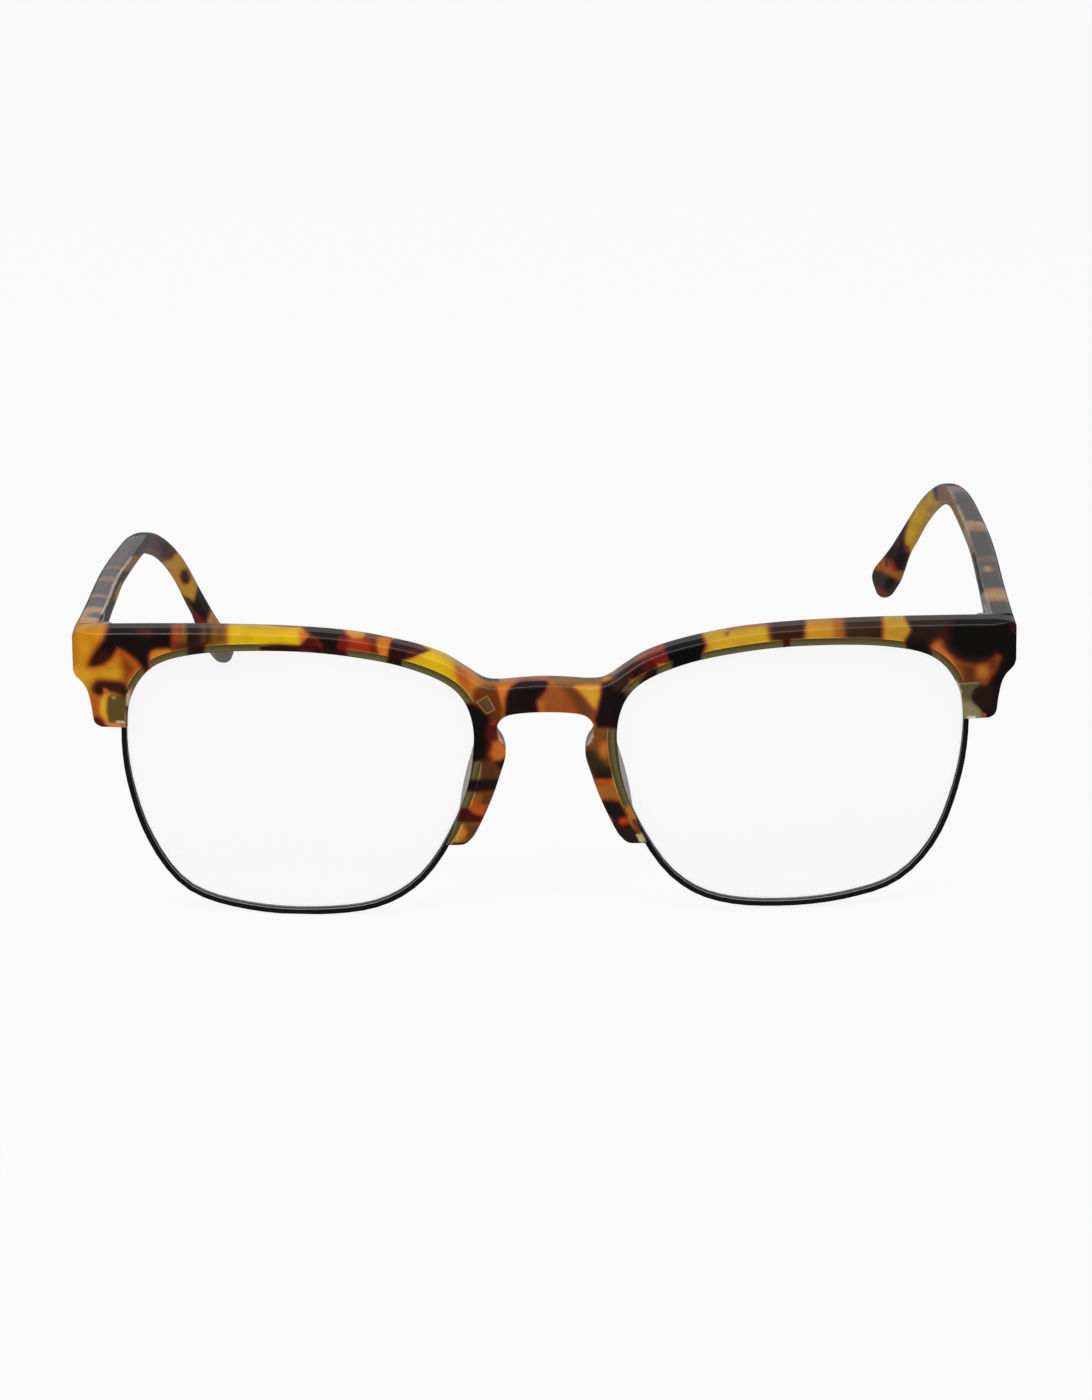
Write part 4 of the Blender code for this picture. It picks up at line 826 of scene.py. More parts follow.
def frontCutters():
    # Lens openings, rim seats and the pockets behind: blocks, tabs and hinge leaves
    loop, past, pocket = lensLoop(), stand["thick"] + front["cutPast"], front["tabPocket"]
    normals = loopNormals(loop)
    narrow, wide = openingLoops(loop)
    seat = [Vector(spot) + normal * front["seatOut"] for spot, normal in zip(loop, normals)]
    tabAt = round(pocket["round"] * len(loop))
    middle = Vector(loop[tabAt]) + normals[tabAt] * pocket["out"]
    for side in (-1, 1):
        def flat(spots, depth):
            return [Vector((side * spot[0], depth, spot[1])) for spot in spots]
        yield "opening", ringedShape(flat(wide, -front["cutPast"]), flat(wide, 0), flat(narrow, front["flare"]),
                                     flat(narrow, past))
        yield "seat", ringedShape(flat(seat, front["seatFrom"]), flat(seat, past))
        yield "blocks", pocketShape(side, front["blockPocket"])
        turn = -math.atan2(normals[tabAt].y, side * normals[tabAt].x)
        placed = Matrix.Translation((side * middle.x, pocket["depth"], middle.y))
        yield "tab", boxShape(pocket["low"], pocket["high"], placed @ Matrix.Rotation(turn, 4, "Y"))
        yield "leaf", pocketShape(side, front["leafPocket"])


def frontBody():
    loop, shares = frontOutline()
    normals, profiles = loopNormals(loop), [frontProfile(share) for share in shares]
    rings = [[Vector((spot.x - normal.x * profile[k].x, profile[k].y, spot.y - normal.y * profile[k].x))
              for spot, normal, profile in zip(loop, normals, profiles)] for k in range(len(profiles[0]))]
    return meshObject("frontBody", ringedShape(*rings))


def makeFront():
    body = frontBody()
    cutters = []
    for name, shape in frontCutters():
        cutter = meshObject("cut " + name, shape)
        cut = body.modifiers.new(cutter.name, "BOOLEAN")
        cut.operation, cut.object = "DIFFERENCE", cutter
        cutters.append(cutter)
    bpy.context.view_layer.update()
    shape = bmesh.new()
    shape.from_mesh(bpy.data.meshes.new_from_object(body.evaluated_get(bpy.context.evaluated_depsgraph_get())))
    for helper in [body, *cutters]:
        bpy.data.meshes.remove(helper.data)
    bmesh.ops.remove_doubles(shape, verts=shape.verts, dist=front["weld"])
    bmesh.ops.dissolve_limit(shape, angle_limit=front["flat"], verts=shape.verts, edges=shape.edges)
    for axis, step in ((0, front["grid"]), (2, front["grid"]), (1, front["grid"] * front["deepGrid"])):
        sliceAcross(shape, axis, step)
    bmesh.ops.triangulate(shape, faces=[face for face in shape.faces if len(face.verts) > 4])
    for vertex in shape.verts:
        vertex.co = toWorld((vertex.co.x, vertex.co.y + bowAt(vertex.co.x), vertex.co.z))
    bmesh.ops.recalc_face_normals(shape, faces=shape.faces)
    mesh = addPiece("acetateFront", shape, frontAcetate, "front", "acetate", "brow_front").data
    mesh.shade_smooth()
    mesh.set_sharp_from_angle(angle=front["sharp"])
    paintFront(mesh)


def coverOf(places, patches):
    # How far white patches would cover each place, from 0 to 1
    across, down = places
    blank = np.zeros((len(across), 3))
    return paintPatches(blank, across, down, [(outline, white, soft) for outline, soft in patches])[:, 0]


def paintFront(mesh):
    places = meshPoints(mesh)
    drift = sum(wander(places, *step) for step in front["drift"])
    seen = onPhoto(places)
    wandered = seen[0] + drift[:, 0], seen[1] + drift[:, 2]
    colours = np.tile(np.array(tone(*amber)), (len(places), 1))
    storeColour(mesh, "tortoiseAndPaintedLight", paintPatches(colours, *wandered, frontPatternAndPaintedLight))
    storeColour(mesh, "blocks", paintPatches(np.zeros((len(places), 3)), *wandered, lugBlocksAndGlints))
    x, depth, z = toFront(places)
    clear = depth - np.array([bowAt(value) for value in x]) < front["clearTo"]
    away = front["away"]
    blockPatches = [(outline, soft) for outline, colour, soft in lugBlocksAndGlints]
    storeValue(mesh, "blockShows", coverOf(seen, blockPatches) * clear)
    storeValue(mesh, "rimShows", 1 - coverOf(wandered, hiddenRim))
    storeValue(mesh, "tabInside", np.where(clear, depthInside(*seen, tabOutline), -away))
    upright = meshPoints(mesh, "normal")[:, 2]
    storeValue(mesh, "topFace", smooth((upright - front["topFrom"]) / front["topOver"]))
    outside = np.clip(-insideLens(x, z) * 1000, front["within"], away)
    storeValue(mesh, "rimDistance", np.where(clear, outside, away))
    print("front made", len(mesh.vertices), "points", len(mesh.polygons), "faces")


makeFront()


temple = {"length": 0.1402, "thick": 0.0036, "tipThick": 0.0026, "height": 0.0064, "edge": 0.0009,
          "under": 0.0014, "bendEdge": 0.0004, "bendEdgeFrom": 0.050, "bendEdgeOver": 0.035,
          "bendStart": 0.0711, "bendRadius": 0.0739, "bendAngle": math.radians(42.4),
          "tipHeading": math.radians(18.5), "tipRadius": 0.0030, "tipTurn": math.radians(87), "tipThin": 0.35,
          "cornerLimit": 0.46, "top": 0.042956, "out": 0.06985, "seat": 0.0003,
          "heights": [(0.00, 1.00), (0.08, 0.68), (0.20, 0.59), (0.35, 0.50), (0.50, 0.50), (0.62, 0.54),
                      (0.72, 0.49), (0.80, 0.49), (0.88, 0.55), (0.95, 0.83), (1.00, 0.85)],
          "headings": [(0.00, 0.00), (0.21, -0.06), (0.43, 0.10), (0.61, 0.21), (0.785, 0.42), (1.00, 1.00)],
          "stations": 300, "tipSteps": 14, "pathSteps": 1600, "corner": 7, "flats": (5, 10),
          "drawnAt": 0.108, "drawnSpread": 0.017, "sharp": math.radians(50)}
# What differs between the two temples. Tips: how much is trimmed off, how blunt they end, how much
# slimmer they are and how far raised; drawnIn is how far the arm is drawn inwards past its bend
templeSides = {
    "left": {"side": -1, "slope": math.radians(3.35), "splay": math.radians(1.5), "trim": 0.0008, "blunt": 0.8,
             "slim": 0.13, "raised": 0.0, "drawnIn": 0.0005, "arch": 0.55},
    "right": {"side": 1, "slope": math.radians(-1.1), "splay": math.radians(0.4), "trim": 0.0020, "blunt": 0.52,
              "slim": -0.13, "raised": 0.0004, "drawnIn": 0.0, "arch": 0.15}}

# Temple patterns: bands along the length, then patches, both in millimetres along the temple and
# round it from the middle of its top edge, inwards counted positive
templeBands = {
    "left": [(0, (204, 156, 92)), (11.5, (200, 146, 92)), (14, (52, 48, 47)), (20.5, (46, 43, 44)),
             (22, (184, 124, 96)), (23.6, (46, 40, 42)), (33.5, (50, 44, 46)), (35.5, (150, 104, 74)),
             (37.2, (150, 104, 74)), (39.2, (42, 44, 46)), (45, (44, 46, 48)), (46.6, (150, 110, 84)),
             (48.4, (50, 44, 46)), (55, (90, 50, 48)), (59, (52, 48, 48)), (72, (46, 45, 45)),
             (84, (58, 56, 54)), (93.5, (50, 48, 46)), (95.2, (132, 56, 46)), (97, (44, 40, 38)),
             (105, (38, 32, 30)), (108, (140, 46, 26)), (111, (206, 140, 38)), (114, (214, 158, 44)),
             (120, (210, 162, 46)), (124, (196, 140, 40)), (126, (60, 24, 18)), (131, (32, 22, 22)),
             (134, (150, 62, 26)), (136, (176, 104, 50)), (140.2, (84, 70, 50))],
    "right": [(0, (40, 37, 38)), (6.4, (44, 38, 37)), (8, (184, 112, 66)), (10.4, (190, 154, 78)),
              (13.2, (180, 130, 74)), (15.8, (42, 38, 38)), (29.6, (44, 40, 40)), (31.4, (112, 72, 54)),
              (33, (110, 72, 56)), (35, (42, 39, 39)), (48.4, (42, 39, 39)), (50.4, (164, 110, 62)),
              (54.6, (184, 140, 80)), (56.4, (46, 40, 38)), (66, (64, 46, 44)), (68, (40, 38, 38)),
              (74.5, (42, 39, 38)), (77.5, (150, 78, 50)), (86, (168, 92, 56)), (89, (120, 46, 34)),
              (92, (164, 128, 88)), (96, (140, 106, 72)), (98, (46, 40, 38)), (101, (44, 36, 34)),
              (103.5, (166, 82, 36)), (106, (200, 150, 46)), (112, (190, 150, 44)), (122, (190, 152, 46)),
              (125, (196, 132, 48)), (127, (112, 34, 22)), (129, (24, 16, 16)), (130.6, (24, 15, 15)),
              (131.8, (190, 74, 26)), (133.4, (200, 112, 44)), (134.8, (44, 34, 32)), (139, (36, 30, 30)),
              (139.8, (168, 62, 30)), (140.2, (178, 76, 40))]}
templePatches = {
    "left": [
        (roundSpot((6.0, 0.7), (2.0, 0.75)), (74, 62, 66), 0.5, (178, 104, 72), 0.5)],
    "right": [
        (roundSpot((26, 0.3), (1.5, 0.6)), (168, 138, 92), 0.5, (120, 84, 60), 0.6)]}

# What the camera sees of each temple's bend, tip and inner face, in the photograph's pixels, with painted sheen,
# painted reflections and a painted highlight line among the patches
seenPatternAndPaintedLight = {
    "left": [
        # Painted sheen: the grey of the bend's top face, in this and the next patch
        ([(126, 562), (146, 536), (150, 528), (160, 530), (160, 556), (146, 557), (136, 565)], (86, 84, 82), 3),
        ([(150, 545), (160, 546), (172, 560), (164, 566), (150, 556)], (96, 96, 94), 2.5),
        ([(156, 530), (161, 530), (160, 556), (156, 554)], (104, 62, 58), 1.4),
        ([(163, 530), (172, 536), (180, 549), (176, 556), (168, 560), (160, 556), (166, 548)],
         (104, 40, 34), 2.4),
        ([(161, 545), (168, 543), (169, 553), (162, 553)], (40, 34, 34), 2.5),
        ([(132, 556), (142, 556), (134, 572), (122.5, 573), (124.5, 567.5)], (184, 126, 40), 1.2),
        ([(122, 571.5), (132, 571), (126, 584), (114, 584), (118, 577)], (84, 26, 22), 1.5),
        ([(116, 583), (126, 582), (118, 603), (108, 603), (112.5, 590)], (204, 158, 84), 1.5),
        # Painted reflection: a pale patch on the inner face near the hinge
        ([(109, 601), (120, 600), (112, 630), (99, 630), (104.5, 613)], (116, 92, 92), 2),
        ([(122.8, 571), (125.4, 571.5), (121, 581), (116.4, 591), (113, 601), (109, 614), (106, 628), (100, 628),
          (104.8, 613), (110.4, 600), (114.6, 588), (118.4, 578)], (8, 5, 6), 0.9),
        # Painted highlight: a light line along the top inner edge
        ([(130.5, 557), (133, 557.5), (124.4, 569), (119.4, 576.5), (113.5, 589), (109, 601), (102.6, 615),
          (100.6, 614), (107, 600), (111.7, 587), (117.2, 575.5), (122.6, 567.5)], (224, 208, 190), 0.7),
        ([(99, 615), (103, 614), (104, 619), (99, 620)], (10, 8, 8), 0.9),
        ([(160, 563), (166, 560.5), (172, 559), (178, 550), (190, 563), (204, 586), (198, 596), (194.5, 602),
          (188, 598), (181, 594), (168, 576)], (214, 160, 48), 1.8, (128, 52, 28), 1.6),
        ([(181, 553), (190, 563), (200, 578), (197, 580), (188, 570)], (222, 168, 84), 1.6),
        (roundSpot((185.2, 577), (4.4, 7.0), -8), (70, 22, 18), 1.8, (158, 76, 28), 1.6),
        ([(187, 564), (192, 568), (193, 574), (189, 572)], (170, 84, 44), 1.6),
        ([(194.6, 603), (196.5, 595), (199, 585), (205, 588), (218, 612), (211, 611), (208, 618), (204, 621),
          (197, 616), (191, 606), (184, 598), (188, 598.8)], (30, 22, 22), 1.6, (118, 44, 24), 1.5),
        ([(178, 590), (183, 595), (188, 601), (193, 611), (188, 614), (176, 594)], (74, 56, 46), 1.2),
        ([(193, 612), (198, 614), (204, 619.5), (206, 623), (205, 630), (194, 630)], (112, 34, 16), 2),
        ([(211.5, 610), (216, 609), (224, 622), (224, 630), (207, 630), (208.5, 620)],
         (200, 144, 88), 1.6, (150, 62, 34), 1.6),
        ([(204, 646), (238, 646), (238, 672), (204, 672)], (120, 116, 108), 1.5),
        ([(209, 650), (213, 650), (219, 664), (212, 662)], (150, 146, 138), 2)],
    "right": [
        # Painted reflection: a pale strip along the inner face
        ([(958, 505), (966, 522), (972, 545), (979, 575), (992, 615), (982, 615), (972, 580), (966, 555),
          (960, 530), (950, 508)], (184, 170, 158), 1.6),
        ([(950, 505), (956, 506), (966, 527), (961, 530)], (170, 134, 40), 1.4),
        ([(972.6, 553), (975, 553), (979, 571), (984, 592), (980.6, 594), (976.5, 575)], (8, 6, 6), 0.9),
        ([(930, 482), (938, 481), (938, 500), (934, 504), (930, 492)], (62, 54, 52), 2, (140, 88, 66), 1.6),
        ([(938, 481), (948, 481), (954, 492), (956, 508), (946, 502), (938, 500)], (156, 118, 96), 2.5),
        ([(943, 480), (950, 480), (956, 488), (948, 489)], (110, 78, 66), 2),
        ([(931, 488), (934, 500), (941, 504), (931, 520), (913, 548), (906.5, 552), (903.5, 541), (905, 530),
          (909, 519), (920, 504)], (222, 182, 38), 1.8, (214, 140, 50), 1),
        ([(929, 507), (938, 506), (931, 520), (913, 546), (910, 546), (920, 526)], (216, 160, 66), 1.6),
        ([(905, 517), (908, 521), (905, 531), (903.6, 540), (905, 547), (909, 554), (906, 566), (903, 570),
          (897, 571), (894, 566), (890, 560), (884, 558), (878, 560), (890, 541), (898, 528)],
         (34, 22, 22), 1.8, (126, 44, 26), 1.8),
        ([(892, 538), (898, 537), (898, 545), (892, 546)], (84, 40, 34), 1.8),
        ([(904, 545), (910, 546), (909, 552), (905, 552)], (140, 50, 36), 1.4),
        ([(876, 562), (882, 556), (889, 561), (893, 566), (897, 571.5), (903, 571), (905, 575), (901, 582),
          (895, 580), (888, 575), (880, 571), (874, 572)], (178, 104, 40), 1.6, (100, 34, 18), 1.4),
        ([(889, 560), (893, 562), (897, 569), (894, 571), (890, 566)], (150, 44, 12), 1.4),
        ([(884, 558), (888, 560), (889, 567), (886, 567)], (110, 46, 34), 1.2),
        ([(872, 570), (880, 571.5), (888, 576), (895, 581), (901, 583), (896, 592), (886, 602), (866, 600),
          (866, 574)], (58, 46, 44), 2, (110, 50, 34), 1),
        ([(888, 576), (896, 579), (893, 586), (884, 590), (884, 581)], (24, 16, 16), 2.5),
        ([(876, 588), (882, 590), (888, 594), (886, 602), (874, 600)], (124, 58, 40), 2.5)]}

# How the temple's pattern is laid: wanderings as size, amount and seed; bands arch over the top
# edge up to a distance from its middle, and lean beyond it; faces turned from the camera keep theirs
templePaint = {"drift": ((0.0045, 1.1, 5.2), (0.0014, 0.35, 1.7)), "seenDrift": (0.0018, 0.35, 2.6),
               "patchShare": (0.4, 0.2), "archTo": 1.8, "lean": 0.4, "outerApart": 0.02,
               "facingFrom": 0.50, "facingOver": 0.24}


def eased(rows, share):
    for (low, first), (high, second) in zip(rows, rows[1:]):
        if share <= high:
            t = (share - low) / (high - low)
            return first + (second - first) * t * t * (3 - 2 * t)
    return rows[-1][1]


def bentShare(along):
    return min(max((along - temple["bendStart"]) / (temple["bendRadius"] * temple["bendAngle"]), 0), 1)


def nearTip(along):
    # Grows from 0 to 1 over the last tenth of the length
    return float(smooth(along / temple["length"] * 10 - 9))


def templePath(name, places):
    # Middle line of the temple, with its inward and upward directions, in flat front coordinates
    own, steps = templeSides[name], temple["pathSteps"]
    side = own["side"]
    x = temple["out"] - temple["thick"] / 2
    position = Vector((side * x, stand["thick"] + bowAt(x) + temple["seat"],
                       temple["top"] - temple["height"] / 2))
    trail = []
    for i in range(steps + 1):
        share = i / steps
        slope = own["slope"] + temple["bendAngle"] * bentShare(temple["length"] * share)
        heading = own["splay"] + temple["tipHeading"] * eased(temple["headings"], share)
        ahead = Vector((-side * math.sin(heading), math.cos(heading) * math.cos(slope), -math.sin(slope)))
        ahead.normalize()
        inward = Vector((-side * ahead.y, side * ahead.x, 0)).normalized()
        trail.append((position.copy(), inward, side * ahead.cross(inward)))
        position = position + ahead * (temple["length"] / steps)
    return [trail[round(along / temple["length"] * steps)] for along in places]


def templeSection(name, along, shrink):
    # Rounded section at one place: points inwards and upwards of the middle line, from the middle
    # of the top edge round by the inner face, and the inner half of them
    full = temple["height"] * eased(temple["heights"], along / temple["length"])
    full *= 1 - templeSides[name]["slim"] * nearTip(along)
    lift = (temple["height"] - full) / 2
    thick = temple["thick"] + (temple["tipThick"] - temple["thick"]) * bentShare(along)
    wide = thick * (temple["tipThin"] + (1 - temple["tipThin"]) * shrink)
    tall = full * shrink
    limit = temple["cornerLimit"] * min(wide, tall)
    rounder = temple["bendEdge"] * float(smooth((along - temple["bendEdgeFrom"]) / temple["bendEdgeOver"]))
    upper, lower = min(temple["edge"] + rounder, limit), min(temple["under"] + rounder, limit)
    short, long = temple["flats"]
    arc = [math.pi / 2 * k / temple["corner"] for k in range(temple["corner"])]
    half = [(wide / 2 * k / short * (1 - 2 * upper / wide), tall / 2) for k in range(short)]
    half += [(wide / 2 - upper + upper * math.sin(a), tall / 2 - upper + upper * math.cos(a)) for a in arc]
    half += [(wide / 2, tall / 2 - upper + (lower + upper - tall) * k / long) for k in range(long)]
    half += [(wide / 2 - lower + lower * math.cos(a), -tall / 2 + lower - lower * math.sin(a)) for a in arc]
    half += [((wide / 2 - lower) * (1 - k / short), -tall / 2) for k in range(short)]
    half.append((0.0, -tall / 2))
    whole = half + [(-across, up) for across, up in reversed(half[1:-1])]
    return [(across, up + lift) for across, up in whole], half


def templeGrid(name):
    own = templeSides[name]
    straight = temple["length"] - temple["tipRadius"] - own["trim"]
    places = [(straight * i / temple["stations"], 1.0) for i in range(temple["stations"] + 1)]
    for k in range(1, temple["tipSteps"] + 1):
        angle = temple["tipTurn"] * k / temple["tipSteps"]
        places.append((straight + temple["tipRadius"] * math.sin(angle), math.cos(angle) ** own["blunt"]))
    return places, templePath(name, [along for along, shrink in places])


def makeTemple(name):
    own = templeSides[name]
    places, path = templeGrid(name)
    sections = [templeSection(name, along, shrink) for along, shrink in places]
    around, last = len(sections[0][0]), len(places) - 1
    shape = bmesh.new()
    bmesh.ops.create_grid(shape, x_segments=around, y_segments=last, size=1.0)
    alongMark = shape.verts.layers.float.new("alongTemple")
    roundMark = shape.verts.layers.float.new("roundTemple")
    for vertex in shape.verts:
        i, j = round((vertex.co.x + 1) / 2 * around), round((vertex.co.y + 1) / 2 * last)
        whole, half = sections[j]
        across, up = whole[i % around]
        position, inward, upward = path[j]
        along = places[j][0]
        across += own["drawnIn"] * math.exp(-((along - temple["drawnAt"]) / temple["drawnSpread"]) ** 2)
        place = position + inward * across + upward * (up + own["raised"] * nearTip(along))
        if j == 0:
            place.y = stand["thick"] + bowAt(place.x) + temple["seat"]
        vertex.co = toWorld(place)
        k = i if i < len(half) else around - i
        run = sum(math.dist(a, b) for a, b in zip(half[:k], half[1:k + 1]))
        vertex[alongMark] = along
        vertex[roundMark] = run if i < len(half) else -run
    bmesh.ops.remove_doubles(shape, verts=shape.verts, dist=tiny)
    bmesh.ops.holes_fill(shape, edges=[edge for edge in shape.edges if edge.is_boundary], sides=0)
    bmesh.ops.recalc_face_normals(shape, faces=shape.faces)
    piece = addPiece("acetateTemple" + name.capitalize(), shape, templeAcetate, "temple_" + name, "acetate",
                     "temple_" + name)
    piece.data.shade_smooth()
    piece.data.set_sharp_from_angle(angle=temple["sharp"])
    paintTemple(name, piece.data)


def paintTemple(name, mesh):
    along, turn = (np.array([item.value for item in mesh.attributes[mark].data]) * 1000
                   for mark in ("alongTemple", "roundTemple"))
    away = np.abs(turn)
    mapped = np.stack([along * 0.001, away * 0.001, np.sign(turn) * templePaint["outerApart"]], axis=1)
    drift = sum(wander(mapped, *step) for step in templePaint["drift"])
    arch = templeSides[name]["arch"] * np.minimum(away, templePaint["archTo"]) ** 2
    slant = along + drift[:, 0] + arch + templePaint["lean"] * np.maximum(away - templePaint["archTo"], 0)
    marks = [at for at, colour in templeBands[name]]
    tones = np.array([tone(*colour) for at, colour in templeBands[name]])
    colours = np.stack([np.interp(slant, marks, tones[:, k]) for k in range(3)], axis=1)
    alongShare, turnShare = templePaint["patchShare"]
    colours = paintPatches(colours, along + drift[:, 0] * alongShare, turn + drift[:, 1] * turnShare,
                           templePatches[name])
    places = meshPoints(mesh)
    towards = np.array(camera["place"]) - places
    towards /= np.linalg.norm(towards, axis=1)[:, None]
    facing = np.sum(meshPoints(mesh, "normal") * towards, axis=1)
    weight = smooth((facing + templePaint["facingFrom"]) / templePaint["facingOver"])[:, None]
    across, down = onPhoto(places)
    small = wander(places, *templePaint["seenDrift"])
    seen = paintPatches(colours.copy(), across + small[:, 0], down + small[:, 2], seenPatternAndPaintedLight[name])
    storeColour(mesh, "tortoiseAndPaintedLight", colours + (seen - colours) * weight)
    print("temple made", name, len(mesh.vertices), "points")


for sideName in templeSides:
    makeTemple(sideName)


pads = {"weld": 0.000005, "rounds": 2, "aside": 0.0005, "from": 0.0135, "over": 0.0075}


def makeNosePad(name):
    shape = mergedCopy("nose_pad_" + name, pads["weld"])
    for vertex in shape.verts:
        share = float(smooth((vertex.co.z - pads["from"]) / pads["over"]))
        vertex.co.x += math.copysign(pads["aside"] * share, vertex.co.x)
    piece = addPiece("nosePad" + name.capitalize(), shape, padAcetate, "front", "acetate", "nose_pad_" + name)
    piece.data.shade_smooth()
    finish = piece.modifiers.new("rounding", "SUBSURF")
    finish.levels = finish.render_levels = pads["rounds"]


for sideName in templeSides:
    makeNosePad(sideName)
print("nose pads made")


metalFinish = {"weld": 0.000002, "softEdge": 0.00007, "angle": math.radians(35), "segments": 2}
leafTaper = {"reach": 0.0005, "left": 0.0006, "right": 0.0011}
# How much fuller each lens is than the mean outline, in millimetres, by degrees up from its outer
# side. Slimmer is how far the rim's inner lip is drawn back; wall marks faces that look inwards
rimShape = {"slimmer": 0.00011, "slimFrom": 0.0002, "slimOver": 0.0003, "wall": -0.6, "middle": 0.0001,
            "left": [(-168, 0.0), (-152, 0.33), (-140, 0.38), (-124, 0.27), (-112, 0.19), (-90, 0.34),
                     (-71, 0.38), (-60, 0.52), (-52, 0.67), (-45, 0.90), (-38, 1.03), (-30, 1.02),
                     (-17, 0.85), (4, 0.29), (16, 0.0)],
            "right": [(-165, 0.0), (-150, 0.17), (-142, 0.20), (-135, 0.10), (-128, 0.0), (-116, -0.28),
                      (-90, -0.28), (-75, -0.33), (-61, -0.30), (-48, -0.10), (-42, 0.08), (-34, 0.34),
                      (-27, 0.48), (-20, 0.38), (-14, 0.25), (-4, 0.12), (8, 0.0)]}


def soften(piece):
    finish = piece.modifiers.new("soften", "BEVEL")
    finish.width = metalFinish["softEdge"]
    finish.segments = metalFinish["segments"]
    finish.limit_method = "ANGLE"
    finish.angle_limit = metalFinish["angle"]
    finish.harden_normals = False


def finishNode(node, material):
    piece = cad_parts[node]
    piece.data.materials.clear()
    piece.data.materials.append(material)
    piece.modifiers.new("merge", "WELD").merge_threshold = metalFinish["weld"]
    soften(piece)


def fittedRing(node, name, side, material, slot, isRim=False):
    # A copy of a rim or lens, fitted to that side's own outline on the photograph
    shape = mergedCopy(node + side, metalFinish["weld"])
    x, depth, z = toFront(np.array([vertex.co[:] for vertex in shape.verts]))
    across, up = fromLensMiddle(x, z)
    reach = np.maximum(np.hypot(across, up), rimShape["middle"])
    share = np.clip(np.hypot(across / lensOutline["width"], up / lensOutline["height"]) * 2, 0, 1)
    angles, amounts = zip(*rimShape[side])
    move = np.interp(np.degrees(np.arctan2(up, across)), angles, amounts) * 0.001 * share ** 2
    if isRim:
        move += rimShape["slimmer"] * smooth((insideLens(x, z) + rimShape["slimFrom"]) / rimShape["slimOver"])
    newX, newZ = x + np.sign(x) * move * across / reach, z + move * up / reach
    for vertex, was, deep, wide, high in zip(shape.verts, x, depth, newX, newZ):
        vertex.co = toWorld((wide, deep + bowAt(wide) - bowAt(was), high))
    piece = addPiece(name + side.capitalize(), shape, material, "front", slot, node + side)
    if isRim:
        soften(piece)
        markWallHighlight(piece.data)


def markWallHighlight(mesh):
    # Marks the rim's inner wall, whose lighter colour is a painted highlight: it catches more light than the rest
    # of it
    x, depth, z = toFront(np.array([face.center[:] for face in mesh.polygons]))
    across, up = fromLensMiddle(x, z)
    walls = [face.normal.dot(Vector((wide, 0, high)).normalized()) < rimShape["wall"]
             for face, wide, high in zip(mesh.polygons, np.sign(x) * across, up)]
    storeValue(mesh, "innerWallHighlight", walls, "FACE")


def taperedLeaf(side):
    # The temple's hinge leaf, narrowed at its far end to stay above the temple's lower edge
    shape = mergedCopy("hinge_temple_leaf_" + side, metalFinish["weld"])
    far = max(vertex.co.y for vertex in shape.verts)
    ends = [vertex for vertex in shape.verts if vertex.co.y > far - leafTaper["reach"]]
    middle = sum(vertex.co.z for vertex in ends) / len(ends)
    bmesh.ops.translate(shape, verts=[vertex for vertex in ends if vertex.co.z < middle],
                        vec=(0, 0, leafTaper[side]))
    soften(addPiece("templeLeaf" + side.capitalize(), shape, hingeSteel, "temple_" + side, "hinge_steel",
                    "hinge_temple_leaf_" + side))


for sideName in templeSides:
    taperedLeaf(sideName)
    fittedRing("rim_wire_", "rimWire", sideName, rimMetal, "black_metal", isRim=True)
    fittedRing("lens_", "demoLens", sideName, lensClear, "clear_lens")
    for part in ("rim_block_upper_", "rim_block_lower_", "rim_tab_"):
        finishNode(part + sideName, blockMetal)
    finishNode("hinge_front_leaf_" + sideName, hingeSteel)
    for part in ("rim_screw_", "tab_screw_", "hinge_screw_"):
        finishNode(part + sideName, screwSteel)
    finishNode("temple_core_" + sideName, hingeSteel)
print("metal and lenses finished")


studio = {"paper": (0.992, 0.995, 0.992), "fill": 0.50, "mirrored": 0.42, "floorShown": 0.90,
          "floorMirrored": (0.115, 0.115, 0.115), "floorSize": 8.0, "floorDrop": 0.0002,
          "floorColour": (0.80, 0.80, 0.79), "floorRoughness": 0.8, "aim": (0.0, 0.0, 0.02),
          "softBoxes": {"frontSoftBox": {"place": (0.0, -0.75, 0.95), "size": (1.6, 0.5), "power": 5.0},
                        "sideFill": {"place": (-0.6, -0.9, 0.75), "size": (0.6, 0.6), "power": 1.8}}}


def seenRays(tree):
    # Light path: rays that show the studio as it is, straight or through glass, and mirrored rays
    rays = addNode(tree, "ShaderNodeLightPath").outputs
    seen = calculated(tree, "MAXIMUM", rays["Is Camera Ray"], rays["Is Transmission Ray"])
    return seen, rays["Is Glossy Ray"]


def glowing(tree, kind, colour, strength=1.0):
    return addNode(tree, kind, Color=(*colour, 1), Strength=strength).outputs[0]


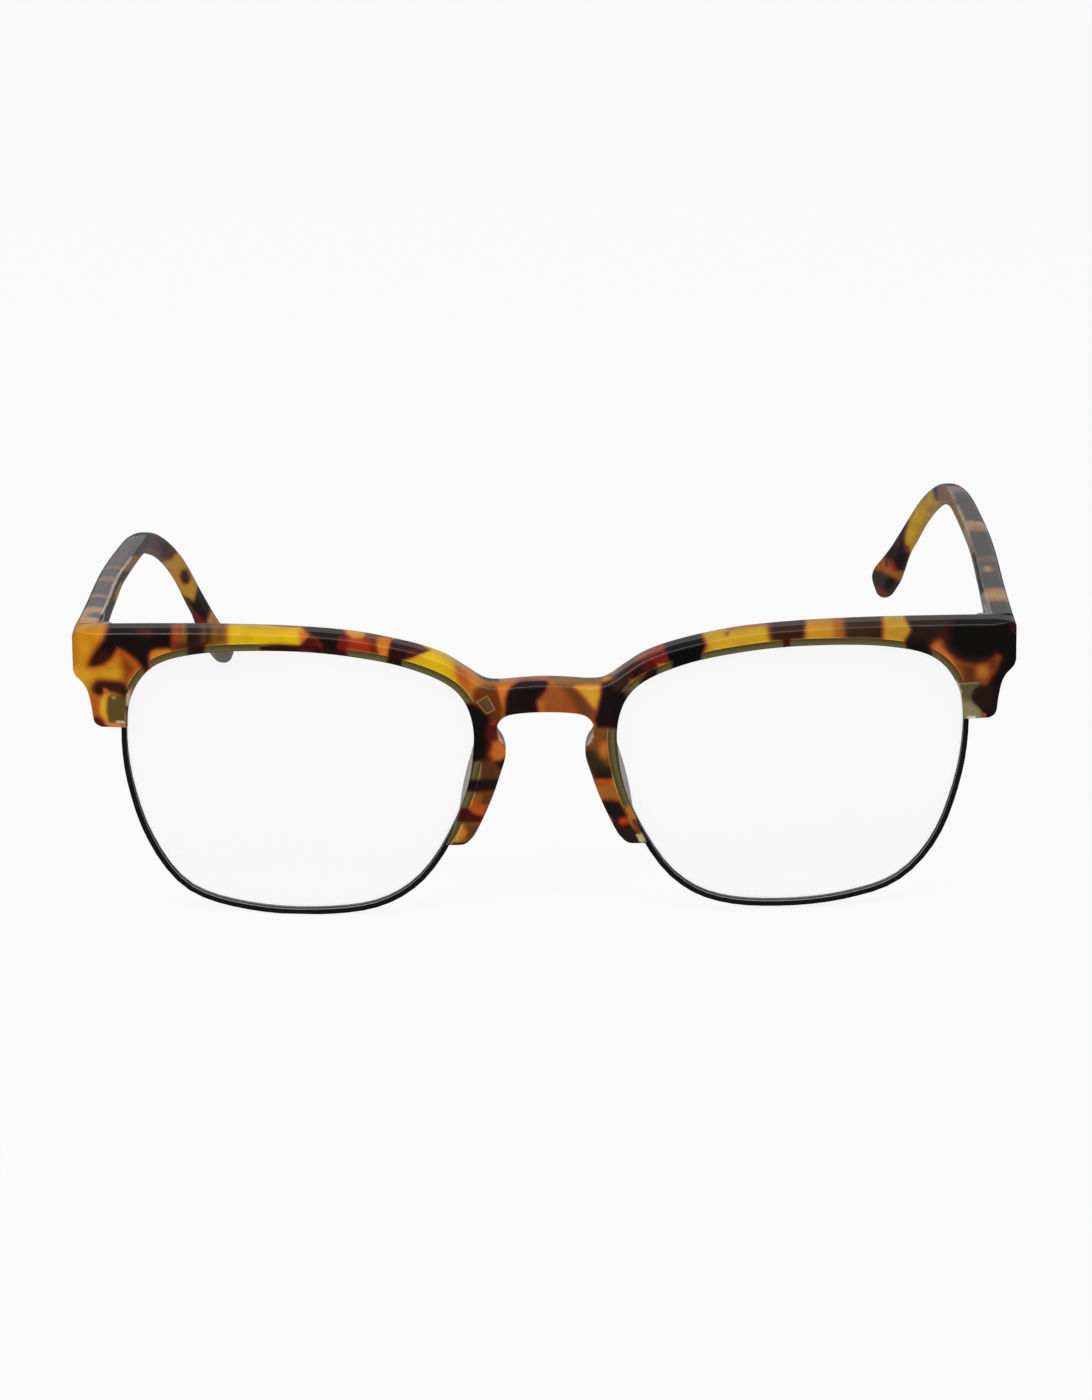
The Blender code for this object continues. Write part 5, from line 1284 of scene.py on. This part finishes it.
def makeFloor():
    # Plain pale floor: white to the camera, with the object's faint shadow left on it
    shape = bmesh.new()
    bmesh.ops.create_grid(shape, x_segments=1, y_segments=1, size=studio["floorSize"])
    floor = meshObject("studioFloor", shape)
    floor.location = (0, 0, -studio["floorDrop"])
    material, tree, shader = newMaterial("whitePaper")
    plugNamed(tree, shader, Base_Color=(*studio["floorColour"], 1), Roughness=studio["floorRoughness"],
              Specular_IOR_Level=0.0)
    seen, glossy = seenRays(tree)
    shown = glowing(tree, "ShaderNodeEmission", studio["paper"])
    dim = glowing(tree, "ShaderNodeEmission", studio["floorMirrored"])
    bright = mixShader(tree, calculated(tree, "MULTIPLY", seen, studio["floorShown"]), shader.outputs[0], shown)
    plugNamed(tree, tree.nodes["Material Output"], Surface=mixShader(tree, glossy, bright, dim))
    floor.data.materials.append(material)


def makeWorld():
    world = bpy.data.worlds.new("paleStudio")
    bpy.context.scene.world = world
    world.use_nodes = True
    tree = world.node_tree
    tree.nodes.clear()
    seen, glossy = seenRays(tree)
    shown = glowing(tree, "ShaderNodeBackground", studio["paper"])
    fill = glowing(tree, "ShaderNodeBackground", (1, 1, 1), studio["fill"])
    mirrored = glowing(tree, "ShaderNodeBackground", studio["paper"], studio["mirrored"])
    lit = mixShader(tree, glossy, fill, mirrored)
    addNode(tree, "ShaderNodeOutputWorld", Surface=mixShader(tree, seen, lit, shown))


def softBox(name, place, size, power):
    lamp = bpy.data.lights.new(name, "AREA")
    lamp.shape = "RECTANGLE"
    lamp.size, lamp.size_y = size
    lamp.energy = power
    holder = linked(name, lamp)
    holder.location = place
    holder.rotation_euler = (Vector(studio["aim"]) - Vector(place)).to_track_quat("-Z", "Y").to_euler()


def makeCamera():
    across, upright, ahead = cameraAxes()
    lens = bpy.data.cameras.new("photoCamera")
    lens.lens = camera["lens"]
    lens.sensor_width = camera["sensor"]
    lens.sensor_fit = "AUTO"
    lens.clip_start = camera["nearest"]
    holder = linked("photoCamera", lens)
    turned = Matrix((across, upright, -ahead)).transposed().to_4x4()
    holder.matrix_world = Matrix.Translation(Vector(camera["place"])) @ turned
    bpy.context.scene.camera = holder


makeFloor()
makeWorld()
for boxName, box in studio["softBoxes"].items():
    softBox(boxName, **box)
makeCamera()
bpy.context.scene.view_settings.view_transform = "Standard"
print("studio ready")
